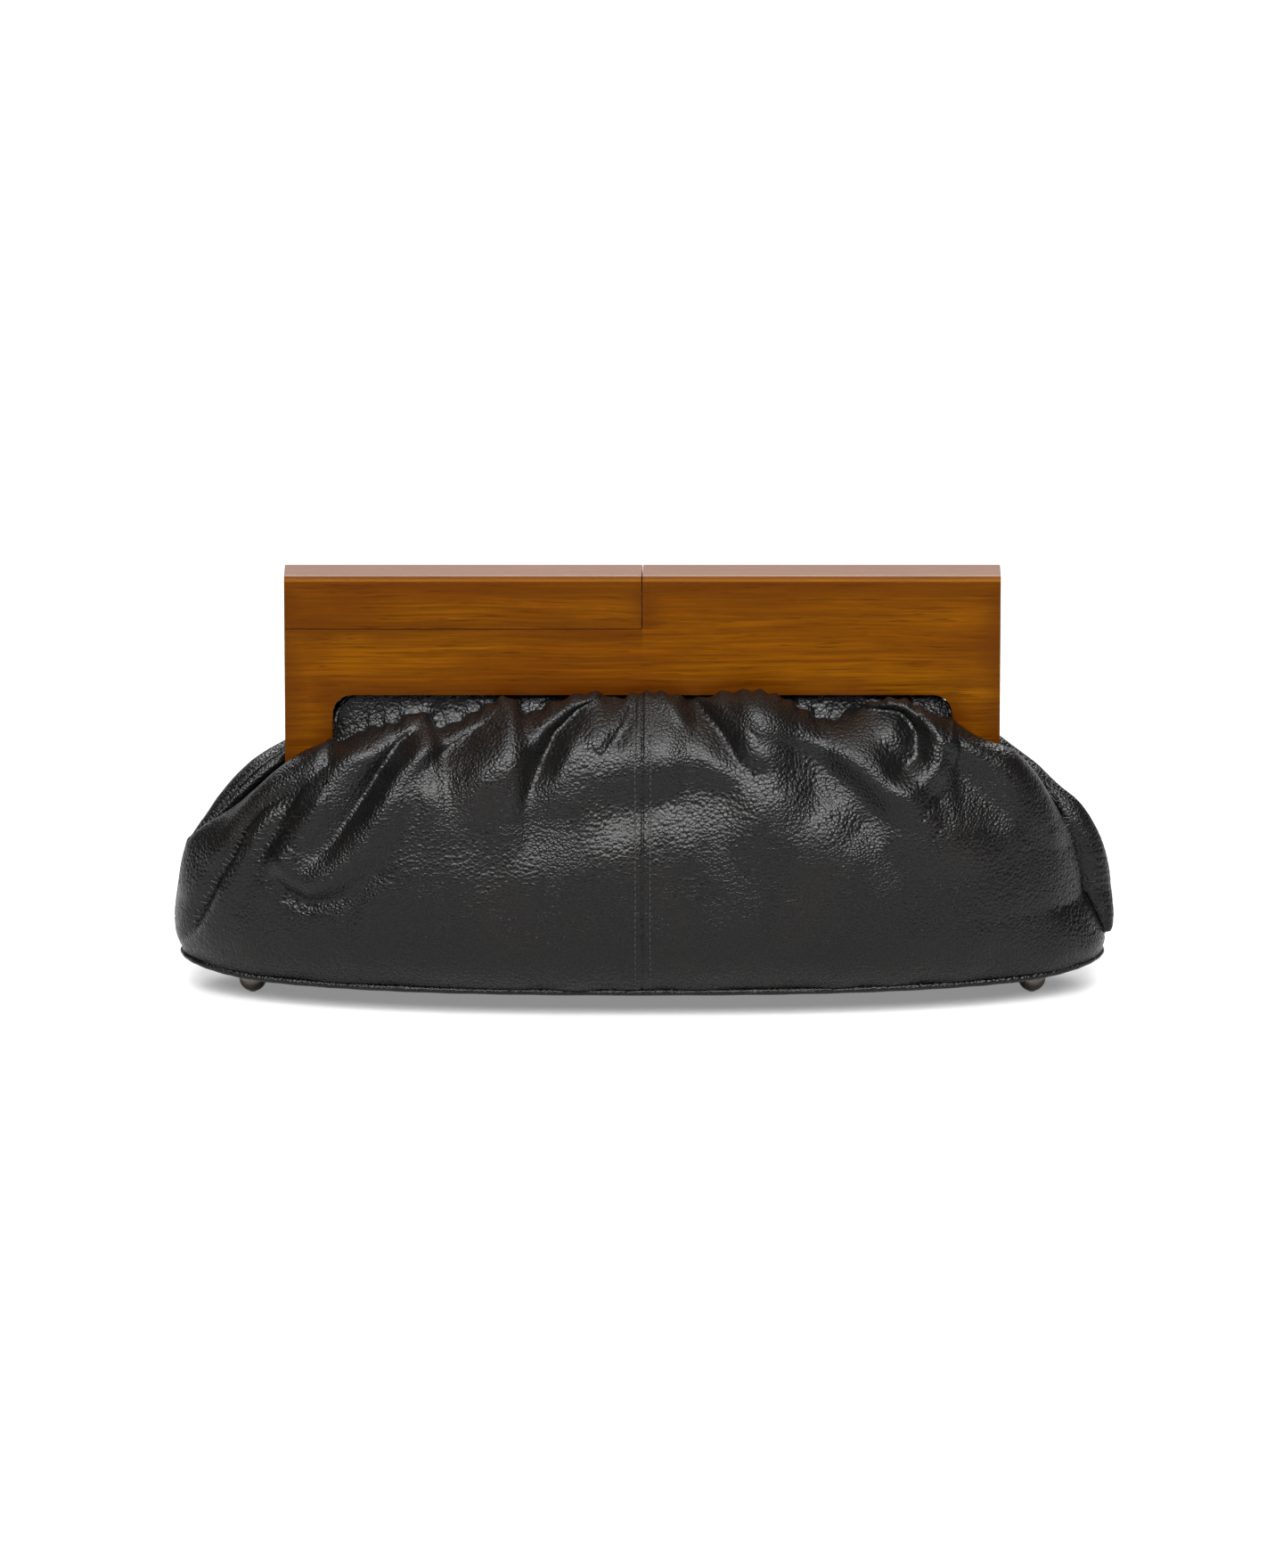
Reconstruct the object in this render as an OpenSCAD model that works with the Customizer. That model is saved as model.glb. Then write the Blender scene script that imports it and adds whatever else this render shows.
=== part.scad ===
// Clutch purse with an interlocking wooden frame. Two boards stand face to face and
// swing apart on hinges under their legs. A gathered leather body hangs from the
// windows of the boards and stands on a stiff base with four ball feet.
// X is the width, -Y the front, Z up. The origin is on the floor, under the middle.

/* [Frame] */
// Width of the wooden frame
frame_w = 290; // [270:1:310]
// Height of a board, from the ends of its legs to the top edge
frame_h = 102; // [94:1:112]
// Thickness of one board
board_t = 10; // [9:0.5:12]
// Width of a leg
leg_w = 19.5; // [18:0.5:23]
// Height of the bar above the window
bar_h = 50; // [46:1:54]
// Corner radius of the window
window_r = 8; // [7:0.5:12]
// Height of the lap block, which is as thick as both boards
lap_h = 22; // [18:0.5:25]
// Radius along the two long top edges
top_r = 3; // [1.5:0.5:4.5]
// Radius of the top corners, seen from the front
corner_r = 1.5; // [1:0.5:4]
// Gap between the boards, and round the lap blocks
board_gap = 0.3; // [0.2:0.1:0.6]

/* [Leather fixing] */
// Width of the rebate round the window, on the inner face
rebate_w = 6; // [5:0.5:7]
// Depth of the rebate
rebate_d = 4.8; // [4.8:0.1:5.6]
// Thickness of the batten that clamps the leather
batten_t = 3; // [2.5:0.1:3.2]
// Clearance between pieces that lie against each other
seat = 0.1; // [0.05:0.05:0.2]
// Diameter of a batten screw
batten_screw_d = 1.6; // [1.2:0.1:1.8]
// Length of a batten screw
batten_screw_l = 7; // [6:0.5:7.5]
// Distance between the screws along the top of the batten
batten_screw_step = 38; // [30:1:40]
// Distance of the lowest screws below the window's top
batten_screw_drop = 31; // [20:1:36]
// Distance by which the batten stops short of the ends of the legs
batten_stop = 8; // [4:1:12]

/* [Magnets] */
// Diameter of a magnet
magnet_d = 8; // [6:0.5:10]
// Thickness of a magnet
magnet_t = 2.5; // [2:0.25:3.5]
// Distance of a magnet from the middle
magnet_x = 60; // [30:1:90]

/* [Hinges] */
// Height of the hinge pins above the floor
hinge_h = 72; // [70:1:76]
// Diameter of a hinge pin
pin_d = 2.4; // [2:0.1:2.8]
// Outer diameter of a knuckle
knuckle_d = 4.8; // [4.4:0.1:5.4]
// Length of a hinge along its pin
leaf_l = 16; // [14:0.5:17]
// Distance from the pin to the free edge of a leaf
leaf_w = 9.2; // [8.6:0.1:9.6]
// Thickness of a leaf
leaf_t = 1.2; // [1:0.1:1.5]
// Gap between neighbouring knuckles
knuckle_gap = 0.2; // [0.1:0.1:0.4]
// Running clearance round a pin
pin_fit = 0.05; // [0.03:0.01:0.08]
// Diameter of a hinge screw
hinge_screw_d = 2; // [1.6:0.1:2.2]
// Length of a hinge screw
hinge_screw_l = 9; // [7:0.5:12]
// Distance between the two screws of a leaf
hinge_screw_pitch = 10; // [8:0.5:10]

/* [Leather body] */
// Width of the leather body over its tips
bag_w = 382; // [372:1:392]
// Height of the tips above the floor
tip_h = 25; // [20:1:30]
// Distance of the rim inside the tips, where the side seams open
rim_inset = 10; // [8:0.5:16]
// Height of the rim above the floor
rim_h = 62; // [56:1:63]
// Depth of the body at its fullest
belly_d = 112; // [104:1:120]
// Height of the fullest point
belly_h = 40; // [34:1:46]
// Height at which the leather passes in front of the legs
leg_cross_h = 105; // [98:1:108]
// Thickness of the leather
leather_t = 1.4; // [1:0.1:1.8]
// Thickness of the lining
lining_t = 0.8; // [0.5:0.1:1]
// Gap along the seams
seam_gap = 0.3; // [0.2:0.1:0.4]

/* [Pocket] */
// Width of the slip pocket on the rear lining
pocket_w = 130; // [90:1:160]
// Height of the slip pocket
pocket_h = 34; // [26:1:38]
// Thickness of the flat pocket
pocket_t = 1.2; // [0.8:0.1:1.6]

/* [Base] */
// Height of the base above the floor
base_h = 10; // [9:0.5:12]
// Distance of the base inside the tips of the body, at each end
base_inset = 3; // [1:0.5:8]
// Depth of the base in the middle
base_d = 93; // [88:1:100]
// Diameter of the welt round the base
welt_d = 3.4; // [3:0.1:4]
// Thickness of the stiffening board
board_base_t = 2.4; // [2:0.1:3]

/* [Feet] */
// Diameter of a ball foot
foot_d = 11.2; // [10:0.2:12]
// Distance of a foot from the middle, as a share of half the length of the base
foot_share = 0.845; // [0.76:0.005:0.85]
// Distance of a foot from the middle, along the depth
foot_y = 9; // [8:0.5:11]
// Diameter of the collar between the foot and the leather
collar_d = 8; // [6:0.5:9]
// Height of the collar
collar_h = 0.5; // [0.3:0.1:1]
// Diameter of the rivet stem of a foot
stem_d = 3; // [2.4:0.2:3.6]
// Diameter of the washer inside
washer_d = 9; // [8:0.5:10]
// Thickness of the washer inside
washer_t = 0.8; // [0.6:0.1:1]

/* [Hidden] */
$fn = 48;

wood = "#9a5c14";
leather = "#2d2b2a";
lining = "#8c7a5c";
nickel = "#b3aca2";

// Heights of the frame, from the hinge pins up
leaf_lift = seam_gap;
leg_z = hinge_h + knuckle_d / 2 + leaf_lift;
top_z = leg_z + frame_h;
lap_z = top_z - lap_h;
window_z = top_z - bar_h;
window_x = frame_w / 2 - leg_w;
leg_x = frame_w / 2 - leg_w / 2;
inner_y = board_gap / 2;
rebate_floor = inner_y + rebate_d;
through = 1;

// The leather edge lies on the rebate floor and the batten on the leather
edge_t = 1.1;
edge_y = rebate_floor - seat - edge_t;
batten_y = edge_y - seat - batten_t;
batten_leg = frame_h - bar_h - batten_stop;
batten_screws_side = 3;
edge_inset = 1.5;
screw_fit = 0.05;
head_h = 0.9;
head_ratio = 1.9;

// The knuckles of a hinge share its length; the screws go through the middle of a leaf
knuckle_l = (leaf_l - 2 * knuckle_gap) / 3;
hinge_screw_y = (leaf_w + knuckle_d / 2 + knuckle_gap) / 2;

// Lengths of the body, from the tips inwards
rim_w = bag_w - 2 * rim_inset;
base_l = bag_w - 2 * base_inset;
foot_x = foot_share * base_l / 2;

// Heights of the base, from the floor up
base_leather_z = base_h + seam_gap;
base_board_z = base_leather_z + leather_t;
washer_z = base_board_z + board_base_t;
rivet_h = 0.6;
base_lining_z = washer_z + washer_t + rivet_h + seam_gap;
panel_z = base_h + welt_d + seam_gap;
lining_drop = 1;
lining_top = rim_h - lining_drop;
lining_reach = 0.97;
pocket_drop = 3;

// The plan of the body is a long lens: half its depth times 1 - |x / half length| ^ power.
// The power falls from the base to the rim: the base has the bluntest ends.
base_power = 4;
rim_power = 3.2;
lens_steps = 28;
tip_slant = 2;
tip_bend = (bag_w - rim_w) / 2 / pow(rim_h - tip_h, 2);
wall_min = 0.6;
fold_d = rebate_floor - seat - edge_t / 2;
fold_z = window_z - 0.5;

function half_length(z) = bag_w / 2 - tip_bend * pow(z - tip_h, 2);
function swell(z) = sin(90 * (z - panel_z) / (belly_h - panel_z));
function drawn_in(z) = sqrt(1 - pow((z - belly_h) / (fold_z - belly_h), 2));
function half_depth(z) = z < belly_h
    ? base_d / 2 + (belly_d - base_d) / 2 * swell(z)
    : fold_d + (belly_d / 2 - fold_d) * drawn_in(z);
function power(z) = base_power + (rim_power - base_power) * (z - panel_z) / (rim_h - panel_z);
function lens(v, z) = 1 - pow(v, power(z));

// Depth of a wall's face, inset from the leather's outer face and never past the side seam
function face_depth(v, z, inset) =
    max(half_depth(z) * lens(v, z) - inset, seam_gap / 2 + (inset == 0 ? wall_min : 0));

// A closed shell between two grids of points of one size; side 1 or -1 sets which is outside
module shell(outer, inner, side) {
    nu = len(outer);
    nv = len(outer[0]);
    back = nu * nv;
    skin = [for (i = [0:nu - 2], j = [0:nv - 2]) each let(a = i * nv + j, b = a + nv)
        [[a, a + 1, b], [a + 1, b + 1, b],
         [back + a, back + b, back + a + 1], [back + a + 1, back + b, back + b + 1]]];
    ends = [for (j = [0:nv - 2]) each let(a = j, b = (nu - 1) * nv + j)
        [[a, back + a, a + 1], [a + 1, back + a, back + a + 1],
         [b, b + 1, back + b], [b + 1, back + b + 1, back + b]]];
    rims = [for (i = [0:nu - 2]) each let(a = i * nv, b = a + nv, c = a + nv - 1, d = c + nv)
        [[a, b, back + a], [b, back + b, back + a],
         [c, back + c, d], [d, back + c, back + d]]];
    all = concat(skin, ends, rims);
    polyhedron(
        points = concat([for (row = outer) each row], [for (row = inner) each row]),
        faces = side < 0 ? all : [for (f = all) [f[2], f[1], f[0]]]);
}

// A piece of the front wall between the lens fractions v0 and v1 and two heights
function wall_grid(v0, v1, z0, z1, inset, side, nu, nv) =
    [for (i = [0:nu]) let(v = v0 + (v1 - v0) * i / nu)
        [for (j = [0:nv]) let(z = z0 + (z1 - z0) * j / nv)
            [side * (seam_gap / 2 + v * (half_length(z) - seam_gap / 2)),
             -face_depth(v, z, inset), z]]];

module wall(v0, v1, z0, z1, inset, t, side, nu, nv) {
    shell(
        wall_grid(v0, v1, z0, z1, inset, side, nu, nv),
        wall_grid(v0, v1, z0, z1, inset + t, side, nu, nv),
        -side);
}

// The same wall from tip to tip, in one piece
function full_grid(z0, z1, inset, reach, nu, nv) =
    [for (i = [-nu:nu]) let(v = reach * i / nu)
        [for (j = [0:nv]) let(z = z0 + (z1 - z0) * j / nv)
            [v * half_length(z), -face_depth(abs(v), z, inset), z]]];

module full_wall(z0, z1, inset, t, reach, nu, nv) {
    shell(
        full_grid(z0, z1, inset, reach, nu, nv),
        full_grid(z0, z1, inset + t, reach, nu, nv),
        -1);
}

module at_rear() {
    rotate([0, 0, 180]) children();
}

// A square with rounded upper corners, standing on y = 0
module round_top(w, h, r) {
    translate([-w / 2, 0]) square([w, h - r]);
    translate([-w / 2 + r, 0]) square([w - 2 * r, h]);
    for (side = [-1, 1]) translate([side * (w / 2 - r), h - r]) circle(r);
}

// A plate in the plane of the boards, from depth y0 to depth y1 in front of the middle
module upright(y0, y1) {
    translate([0, -y0, 0]) rotate([90, 0, 0]) linear_extrude(y1 - y0) children();
}

module window_shape(grow) {
    translate([0, leg_z - through])
        round_top(2 * (window_x + grow), window_z + grow - leg_z + through, window_r + grow);
}

module magnet_places() {
    for (side = [-1, 1])
        translate([side * magnet_x, 0, (window_z + rebate_w + lap_z) / 2]) children();
}

module batten_screw_places() {
    for (i = [-batten_screws_side:batten_screws_side])
        translate([i * batten_screw_step, 0, window_z + rebate_w / 2]) children();
    for (side = [-1, 1])
        translate([side * (window_x + rebate_w / 2), 0, window_z - batten_screw_drop]) children();
}

module hinge_screw_places(side) {
    for (i = [-1, 1])
        translate([side * leg_x + i * hinge_screw_pitch / 2, -hinge_screw_y, leg_z]) children();
}

// One board of the frame, with the lap block on its right
module frame_board() {
    color(wood) difference() {
        union() {
            upright(inner_y, board_t) {
                translate([-frame_w / 2, leg_z]) square([frame_w, frame_h - lap_h - board_gap / 2]);
                translate([board_gap / 2, leg_z])
                    square([(frame_w - board_gap) / 2, frame_h - lap_h + through]);
            }
            intersection() {
                translate([board_gap / 2, 0, lap_z + board_gap / 2])
                    rotate([90, 0, 90]) linear_extrude(frame_w / 2)
                        round_top(2 * board_t, lap_h - board_gap / 2, top_r);
                upright(-board_t - through, board_t + through)
                    translate([0, lap_z]) round_top(frame_w, lap_h, corner_r);
            }
        }
        upright(-through, board_t + through) window_shape(0);
        upright(0, rebate_floor) window_shape(rebate_w);
        magnet_places() rotate([90, 0, 0]) cylinder(h = inner_y + seat + magnet_t, d = magnet_d + 2 * seat);
        batten_screw_places() rotate([90, 0, 0])
            cylinder(h = batten_y + batten_screw_l + seat, d = batten_screw_d + 2 * screw_fit);
        for (side = [-1, 1]) hinge_screw_places(side)
            translate([0, 0, -through])
                cylinder(h = through + hinge_screw_l - leaf_t + seat, d = hinge_screw_d + 2 * screw_fit);
    }
}

// The frame that fills the rebate, and reaches into the window by an inset
module batten_shape(inset) {
    reach = rebate_w - seat;
    difference() {
        translate([0, window_z - batten_leg])
            round_top(2 * (window_x + reach), batten_leg + reach, window_r + reach);
        translate([0, window_z - batten_leg - through])
            round_top(2 * (window_x - inset), batten_leg + through - inset, window_r);
    }
}

module batten() {
    color(wood) difference() {
        upright(batten_y, batten_y + batten_t) batten_shape(0);
        batten_screw_places() rotate([90, 0, 0])
            cylinder(h = rebate_floor, d = batten_screw_d + 2 * screw_fit);
        batten_screw_places() translate([0, -batten_y, 0]) rotate([90, 0, 0])
            countersink(batten_screw_d, screw_fit);
    }
}

// A screw head from its flat face inwards, with room round it where it is cut
module countersink(d, room) {
    translate([0, 0, -through]) cylinder(h = through, d = head_ratio * d + 2 * room);
    cylinder(h = head_h, d1 = head_ratio * d + 2 * room, d2 = d + 2 * room);
}

module screw(d, l) {
    color(nickel) {
        cylinder(h = head_h, d1 = head_ratio * d, d2 = d);
        cylinder(h = l, d = d);
    }
}

module batten_screws() {
    batten_screw_places() translate([0, -batten_y, 0]) rotate([90, 0, 0])
        screw(batten_screw_d, batten_screw_l);
}

module magnets() {
    color(nickel) magnet_places() translate([0, -inner_y - seat, 0])
        rotate([90, 0, 0]) cylinder(h = magnet_t - seat / 2, d = magnet_d);
}

// Knuckles 0 to 2 lie side by side along the pin
module knuckle_place(k) {
    translate([(k - 1) * (knuckle_l + knuckle_gap) - knuckle_l / 2, 0, 0])
        rotate([90, 0, 90]) children();
}

// A front leaf, with the knuckles that its list names, centred on its pin
module leaf(own) {
    plate_z = knuckle_d / 2 + leaf_lift - leaf_t;
    clear = knuckle_d / 2 + knuckle_gap;
    color(nickel) difference() {
        union() {
            translate([-leaf_l / 2, -leaf_w, plate_z])
                cube([leaf_l, leaf_w - clear, leaf_t]);
            for (k = own) {
                knuckle_place(k) cylinder(h = knuckle_l, d = knuckle_d);
                translate([(k - 1) * (knuckle_l + knuckle_gap) - knuckle_l / 2, -clear - through, plate_z])
                    cube([knuckle_l, clear + through - knuckle_gap, leaf_t]);
            }
        }
        for (k = own)
            knuckle_place(k) translate([0, 0, -through])
                cylinder(h = knuckle_l + 2 * through, d = pin_d + 2 * pin_fit);
        for (i = [-1, 1])
            translate([i * hinge_screw_pitch / 2, -hinge_screw_y, plate_z]) {
                cylinder(h = 2 * leaf_t, d = hinge_screw_d + 2 * screw_fit);
                countersink(hinge_screw_d, screw_fit);
            }
    }
}

module leaf_at(side, own) {
    translate([side * leg_x, 0, hinge_h]) leaf(own);
}

module hinge_pin(side) {
    color(nickel) translate([side * leg_x - leaf_l / 2, 0, hinge_h])
        rotate([0, 90, 0]) cylinder(h = leaf_l, d = pin_d);
}

module hinge_screws() {
    for (side = [-1, 1]) hinge_screw_places(side)
        translate([0, 0, -leaf_t]) screw(hinge_screw_d, hinge_screw_l);
}

// The upper edge of the gathers, by the lens fraction v: along the window's top, down
// beside the leg, out in front of it, round its outer edge and down the side seam.
// Each row is v, x, depth, height, the share of the thickness that goes inwards in x,
// and how far the edge is higher than this on the right, and lower on the left.
leg_clear = 1;
leg_front = board_t + leather_t + leg_clear;
gather_path = [
    [0, 0, fold_d, fold_z, 0, 0],
    [0.61, window_x - window_r, fold_d, fold_z, 0, 0],
    [0.65, window_x - 0.5 * window_r, fold_d + 0.5, fold_z - 0.4 * window_r, 0.6, 0],
    [0.69, window_x - 1.6, fold_d + 3, fold_z - window_r, 1, 1.5],
    [0.74, window_x - 1, leg_front, leg_cross_h + 8, 1, 4],
    [0.82, leg_x, leg_front, leg_cross_h, 0, 5],
    [0.9, frame_w / 2 + 3, leg_front - leg_clear, leg_cross_h - 11, 0.6, 5],
    [0.94, frame_w / 2 + 11, 5.5, leg_cross_h - 21, 1, 4],
    [1, rim_w / 2 - 2.5, seam_gap / 2 + wall_min, rim_h + 5, 0, 0]
];

// The crest, where the leather turns over into the window: v and its rise over the edge
crest_d = board_t + 5;
crest_line = [
    [-0.64, -18], [-0.53, -8.7], [-0.45, -5.2], [-0.38, -7.5], [-0.28, 0.8], [-0.21, -0.7],
    [-0.11, 3.1], [-0.05, 1.8], [0.04, 2.8], [0.11, 0.3], [0.23, 5.3], [0.31, 0.8],
    [0.41, -6.6], [0.47, -2.7], [0.54, 1.6], [0.59, -2.2], [0.64, -6.7]
];

// The main folds: how far the leather stands out of a plain bulge, by v and by the
// fraction of the way from the rim to the crest
fold_ways = [0, 0.2, 0.4, 0.6, 0.8, 0.95, 1];
fold_table = [
    [-1, 0, 0, 0, 0, 0],
    [-0.94, 6, 7, 7, 7, 6],
    [-0.88, 5, 7, 8, 8, 8],
    [-0.82, 0.5, 2.5, 6, 8, 10],
    [-0.75, -3, -4.5, 0, 4.5, 6.5],
    [-0.68, 0, -6, -3, 2, 7],
    [-0.61, 1, 0, -5, 2.5, 8],
    [-0.54, 0, 0, -1, -0.5, 6],
    [-0.47, -0.5, 0.5, 1, -0.5, 5.5],
    [-0.4, -2.5, -1, -0.5, -1, 5],
    [-0.33, -1.5, -0.5, 2, 2, 7.5],
    [-0.26, -2.5, -1.5, -1, -3, 4.5],
    [-0.19, -3, -2, -2, 0.5, 6.5],
    [-0.12, -2.5, -1, -1.5, -3.5, 3.5],
    [-0.05, -2.5, -2, -1.5, -6, 1],
    [0.05, -1.5, -1.5, 0, -3, 3],
    [0.12, -2, -1, -1, -6, 0.5],
    [0.19, -1, -1, -3.5, -1, 5],
    [0.26, 0, -1, 2, 3.5, 8.5],
    [0.33, -0.5, -1, -0.5, 0.5, 6.5],
    [0.4, -1, -4.5, 0.5, -1, 4],
    [0.47, -3, -0.5, -2, -5, 0.5],
    [0.54, -3, -2.5, -4, -2.5, 4],
    [0.61, -1, -1.5, -2, 2, 6.5],
    [0.68, -1.5, -2, 3, 3.5, 7.5],
    [0.75, -2, -3.5, 1.5, 4.5, 6],
    [0.82, -2, -2, 2.5, 3.5, 5.5],
    [0.88, 0, 0.5, 0.5, 2, 4.5],
    [0.94, -2, -2, 0, 2, 3.5],
    [1, 0, 0, 0, 0, 0]
];
gather_us = 34;
rise_rows = 8;
turn_rows = 5;
hem_share = 0.9;
hem_from = 0.6;
hem_to = 0.74;
frame_room = 2;

function along(v, k) = lookup(abs(v), [for (p = gather_path) [p[0], p[k]]]);
function fold_at(v, way) = let(
        row = [for (k = [1:5]) lookup(v, [for (r = fold_table) [r[0], r[k]]])])
    lookup(way, [for (k = [0:6]) [fold_ways[k], k == 0 || k == 6 ? 0 : row[k - 1]]]);
function step(f) = let(c = max(0, min(1, f))) c * c * (3 - 2 * c);

// x, depth and height of the edge and of the crest; skew is 1 where the right is higher
function edge_at(v, skew) =
    [along(v, 1), along(v, 2), along(v, 3) + skew * sign(v) * along(v, 5)];
function crest_at(v) = [along(v, 1), crest_d, fold_z + lookup(v, crest_line)];

// A point of the rise from the rim to a target, a fraction s of the way, with thickness t
function rise(v, target, s, t, way) =
    let(z0 = rim_h + seam_gap,
        x0 = abs(v) * half_length(z0),
        d0 = max(half_depth(z0) * lens(abs(v), z0), seam_gap / 2 + wall_min),
        x = x0 + (target[0] - x0) * s - t * along(v, 4) * s,
        d = d0 + (target[1] - d0) * (1 - cos(90 * s)) + fold_at(v, way),
        z = z0 + (target[2] - z0) * sin(90 * s),
        by_leg = z > leg_z - frame_room && abs(x - leg_x) < leg_w / 2 + frame_room)
    [x, max(d, by_leg ? leg_front : 0) - t * cos(90 * s), z - t * sin(90 * s)];

// The way from the crest over into the window: depth, height and how the thickness goes in
function turn(v, k, t) =
    let(c = crest_at(v),
        low = min(c[2] - 5, fold_z - 1),
        rows = [
            [c[1], c[2], 0, 1],
            [c[1] - 2.4, c[2] - 1.3, -0.5, 0.85],
            [board_t + 0.9, low + 1.2, -0.4, 0.9],
            [board_t - 2, low, 0, 1],
            [fold_d + 1.1, (low + fold_z) / 2, 0.5, 0.75],
            [fold_d, fold_z, 0.4, 0.85]],
        r = rows[k])
    [c[0], r[0] - t * r[2], r[1] - t * r[3]];

function gather_point(v, j, t, skew) =
    let(w = 1 - step((abs(v) - hem_from) / (hem_to - hem_from)),
        way = min(1, j / rise_rows),
        k = max(0, j - rise_rows),
        s = hem_share * way + (1 - hem_share) * k / turn_rows,
        hem = rise(v, edge_at(v, skew), s, t, way),
        middle = k > 0 ? turn(v, k, t) : rise(v, crest_at(v), way, t, way),
        p = w * middle + (1 - w) * hem)
    [sign(v) * p[0], -max(p[1], seam_gap / 2), p[2]];

function gather_grid(t, skew) =
    [for (i = [-gather_us:gather_us]) [for (j = [0:rise_rows + turn_rows])
        gather_point(i / gather_us, j, t, skew)]];

// The upper, gathered part of the front leather, with the edge that the batten clamps
module gathers(skew) {
    color(leather) {
        shell(gather_grid(0, skew), gather_grid(leather_t, skew), -1);
        difference() {
            upright(edge_y, edge_y + edge_t) batten_shape(edge_inset);
            batten_screw_places() rotate([90, 0, 0])
                cylinder(h = rebate_floor, d = batten_screw_d + 2 * screw_fit);
        }
    }
}

module panel(side) {
    color(leather) wall(0, 1, panel_z, rim_h, 0, leather_t, side, 16, 8);
}

module lining_wall() {
    color(lining) full_wall(base_lining_z, lining_top, leather_t + seam_gap, lining_t, lining_reach, 18, 6);
}

module slip_pocket() {
    inset = leather_t + lining_t + 2 * seam_gap;
    reach = pocket_w / bag_w;
    z1 = lining_top - pocket_drop;
    color(lining) at_rear() full_wall(z1 - pocket_h, z1, inset, pocket_t, reach, 8, 4);
}

function lens_side(l, d, side) =
    [for (i = [-lens_steps:lens_steps]) let(v = side * i / lens_steps)
        [v * l / 2, -side * d / 2 * lens(abs(v), panel_z)]];

// The plan of the base, drawn in by a margin all round
module base_shape(margin) {
    l = base_l - 2 * tip_slant * margin;
    d = base_d - 2 * margin;
    polygon(concat(lens_side(l, d, 1), lens_side(l, d, -1)));
}

module foot_places(sides, ends) {
    for (x = ends, y = sides) translate([x * foot_x, y * foot_y, 0]) children();
}

module foot_holes() {
    foot_places([-1, 1], [-1, 1]) translate([0, 0, -through])
        cylinder(h = washer_z + washer_t + through, d = stem_d + 2 * screw_fit);
}

module base_layer(z, t, margin) {
    difference() {
        translate([0, 0, z]) linear_extrude(t) base_shape(margin);
        foot_holes();
    }
}

module base_leather() {
    color(leather) base_layer(base_leather_z, leather_t, welt_d / 2 + seam_gap);
}

module base_board() {
    color("tan") base_layer(base_board_z, board_base_t, welt_d + seam_gap);
}

module base_lining() {
    color(lining) translate([0, 0, base_lining_z]) linear_extrude(lining_t)
        base_shape(leather_t + lining_t + 3 * seam_gap);
}

// The welt is a cord round the plan, swept ring by ring
welt_sides = 8;
welt_path = concat(
    [for (p = lens_side(base_l, base_d, 1)) p],
    [for (i = [1:2 * lens_steps - 1]) lens_side(base_l, base_d, -1)[i]]);

function welt_normal(i) =
    let(n = len(welt_path), t = welt_path[(i + 1) % n] - welt_path[(i + n - 1) % n])
    [t[1], -t[0]] / norm(t);

module base_welt() {
    n = len(welt_path);
    m = welt_sides;
    r = welt_d / 2;
    points = [for (i = [0:n - 1], k = [0:m - 1]) let(q = welt_normal(i), a = 360 * (k + 0.5) / m)
        [each welt_path[i] + q * r * cos(a), base_h + r + r * sin(a)]];
    faces = [for (i = [0:n - 1], k = [0:m - 1]) each
        let(a = i * m, b = ((i + 1) % n) * m, k1 = (k + 1) % m)
        [[a + k, a + k1, b + k], [a + k1, b + k1, b + k]]];
    color(leather) polyhedron(points, faces);
}

// A ball with a flat top under the collar, and the rivet stem through the base
module foot() {
    r = foot_d / 2;
    cut = base_leather_z - collar_h;
    color(nickel) {
        intersection() {
            translate([0, 0, r]) rotate_extrude() intersection() {
                circle(r);
                translate([0, -r]) square([r, 2 * r]);
            }
            cylinder(h = cut, d = foot_d + through);
        }
        translate([0, 0, cut - seam_gap]) cylinder(h = base_leather_z - cut + seam_gap, d = collar_d);
        cylinder(h = washer_z + washer_t + rivet_h, d = stem_d);
    }
}

module foot_at(x, y) {
    foot_places([y], [x]) foot();
}

module foot_washers() {
    color(nickel) foot_places([-1, 1], [-1, 1]) translate([0, 0, washer_z]) difference() {
        cylinder(h = washer_t, d = washer_d);
        translate([0, 0, -through]) cylinder(h = washer_t + 2 * through, d = stem_d + 2 * screw_fit);
    }
}

frame_board();  // front_frame
at_rear() frame_board();  // rear_frame
batten();  // front_batten
at_rear() batten();  // rear_batten
batten_screws();  // front_batten_screws
at_rear() batten_screws();  // rear_batten_screws
magnets();  // front_magnets
at_rear() magnets();  // rear_magnets
leaf_at(-1, [0, 2]);  // front_left_leaf
leaf_at(1, [0, 2]);  // front_right_leaf
at_rear() leaf_at(1, [1]);  // rear_left_leaf
at_rear() leaf_at(-1, [1]);  // rear_right_leaf
hinge_pin(-1);  // left_hinge_pin
hinge_pin(1);  // right_hinge_pin
hinge_screws();  // front_hinge_screws
at_rear() hinge_screws();  // rear_hinge_screws
gathers(1);  // front_gathers
at_rear() gathers(0);  // rear_gathers
panel(-1);  // front_left_panel
panel(1);  // front_right_panel
at_rear() panel(1);  // rear_left_panel
at_rear() panel(-1);  // rear_right_panel
lining_wall();  // front_lining
at_rear() lining_wall();  // rear_lining
base_lining();
slip_pocket();
base_leather();
base_board();
base_welt();
foot_at(-1, -1);  // front_left_foot
foot_at(1, -1);  // front_right_foot
foot_at(-1, 1);  // rear_left_foot
foot_at(1, 1);  // rear_right_foot
foot_washers();
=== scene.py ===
import math

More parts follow.
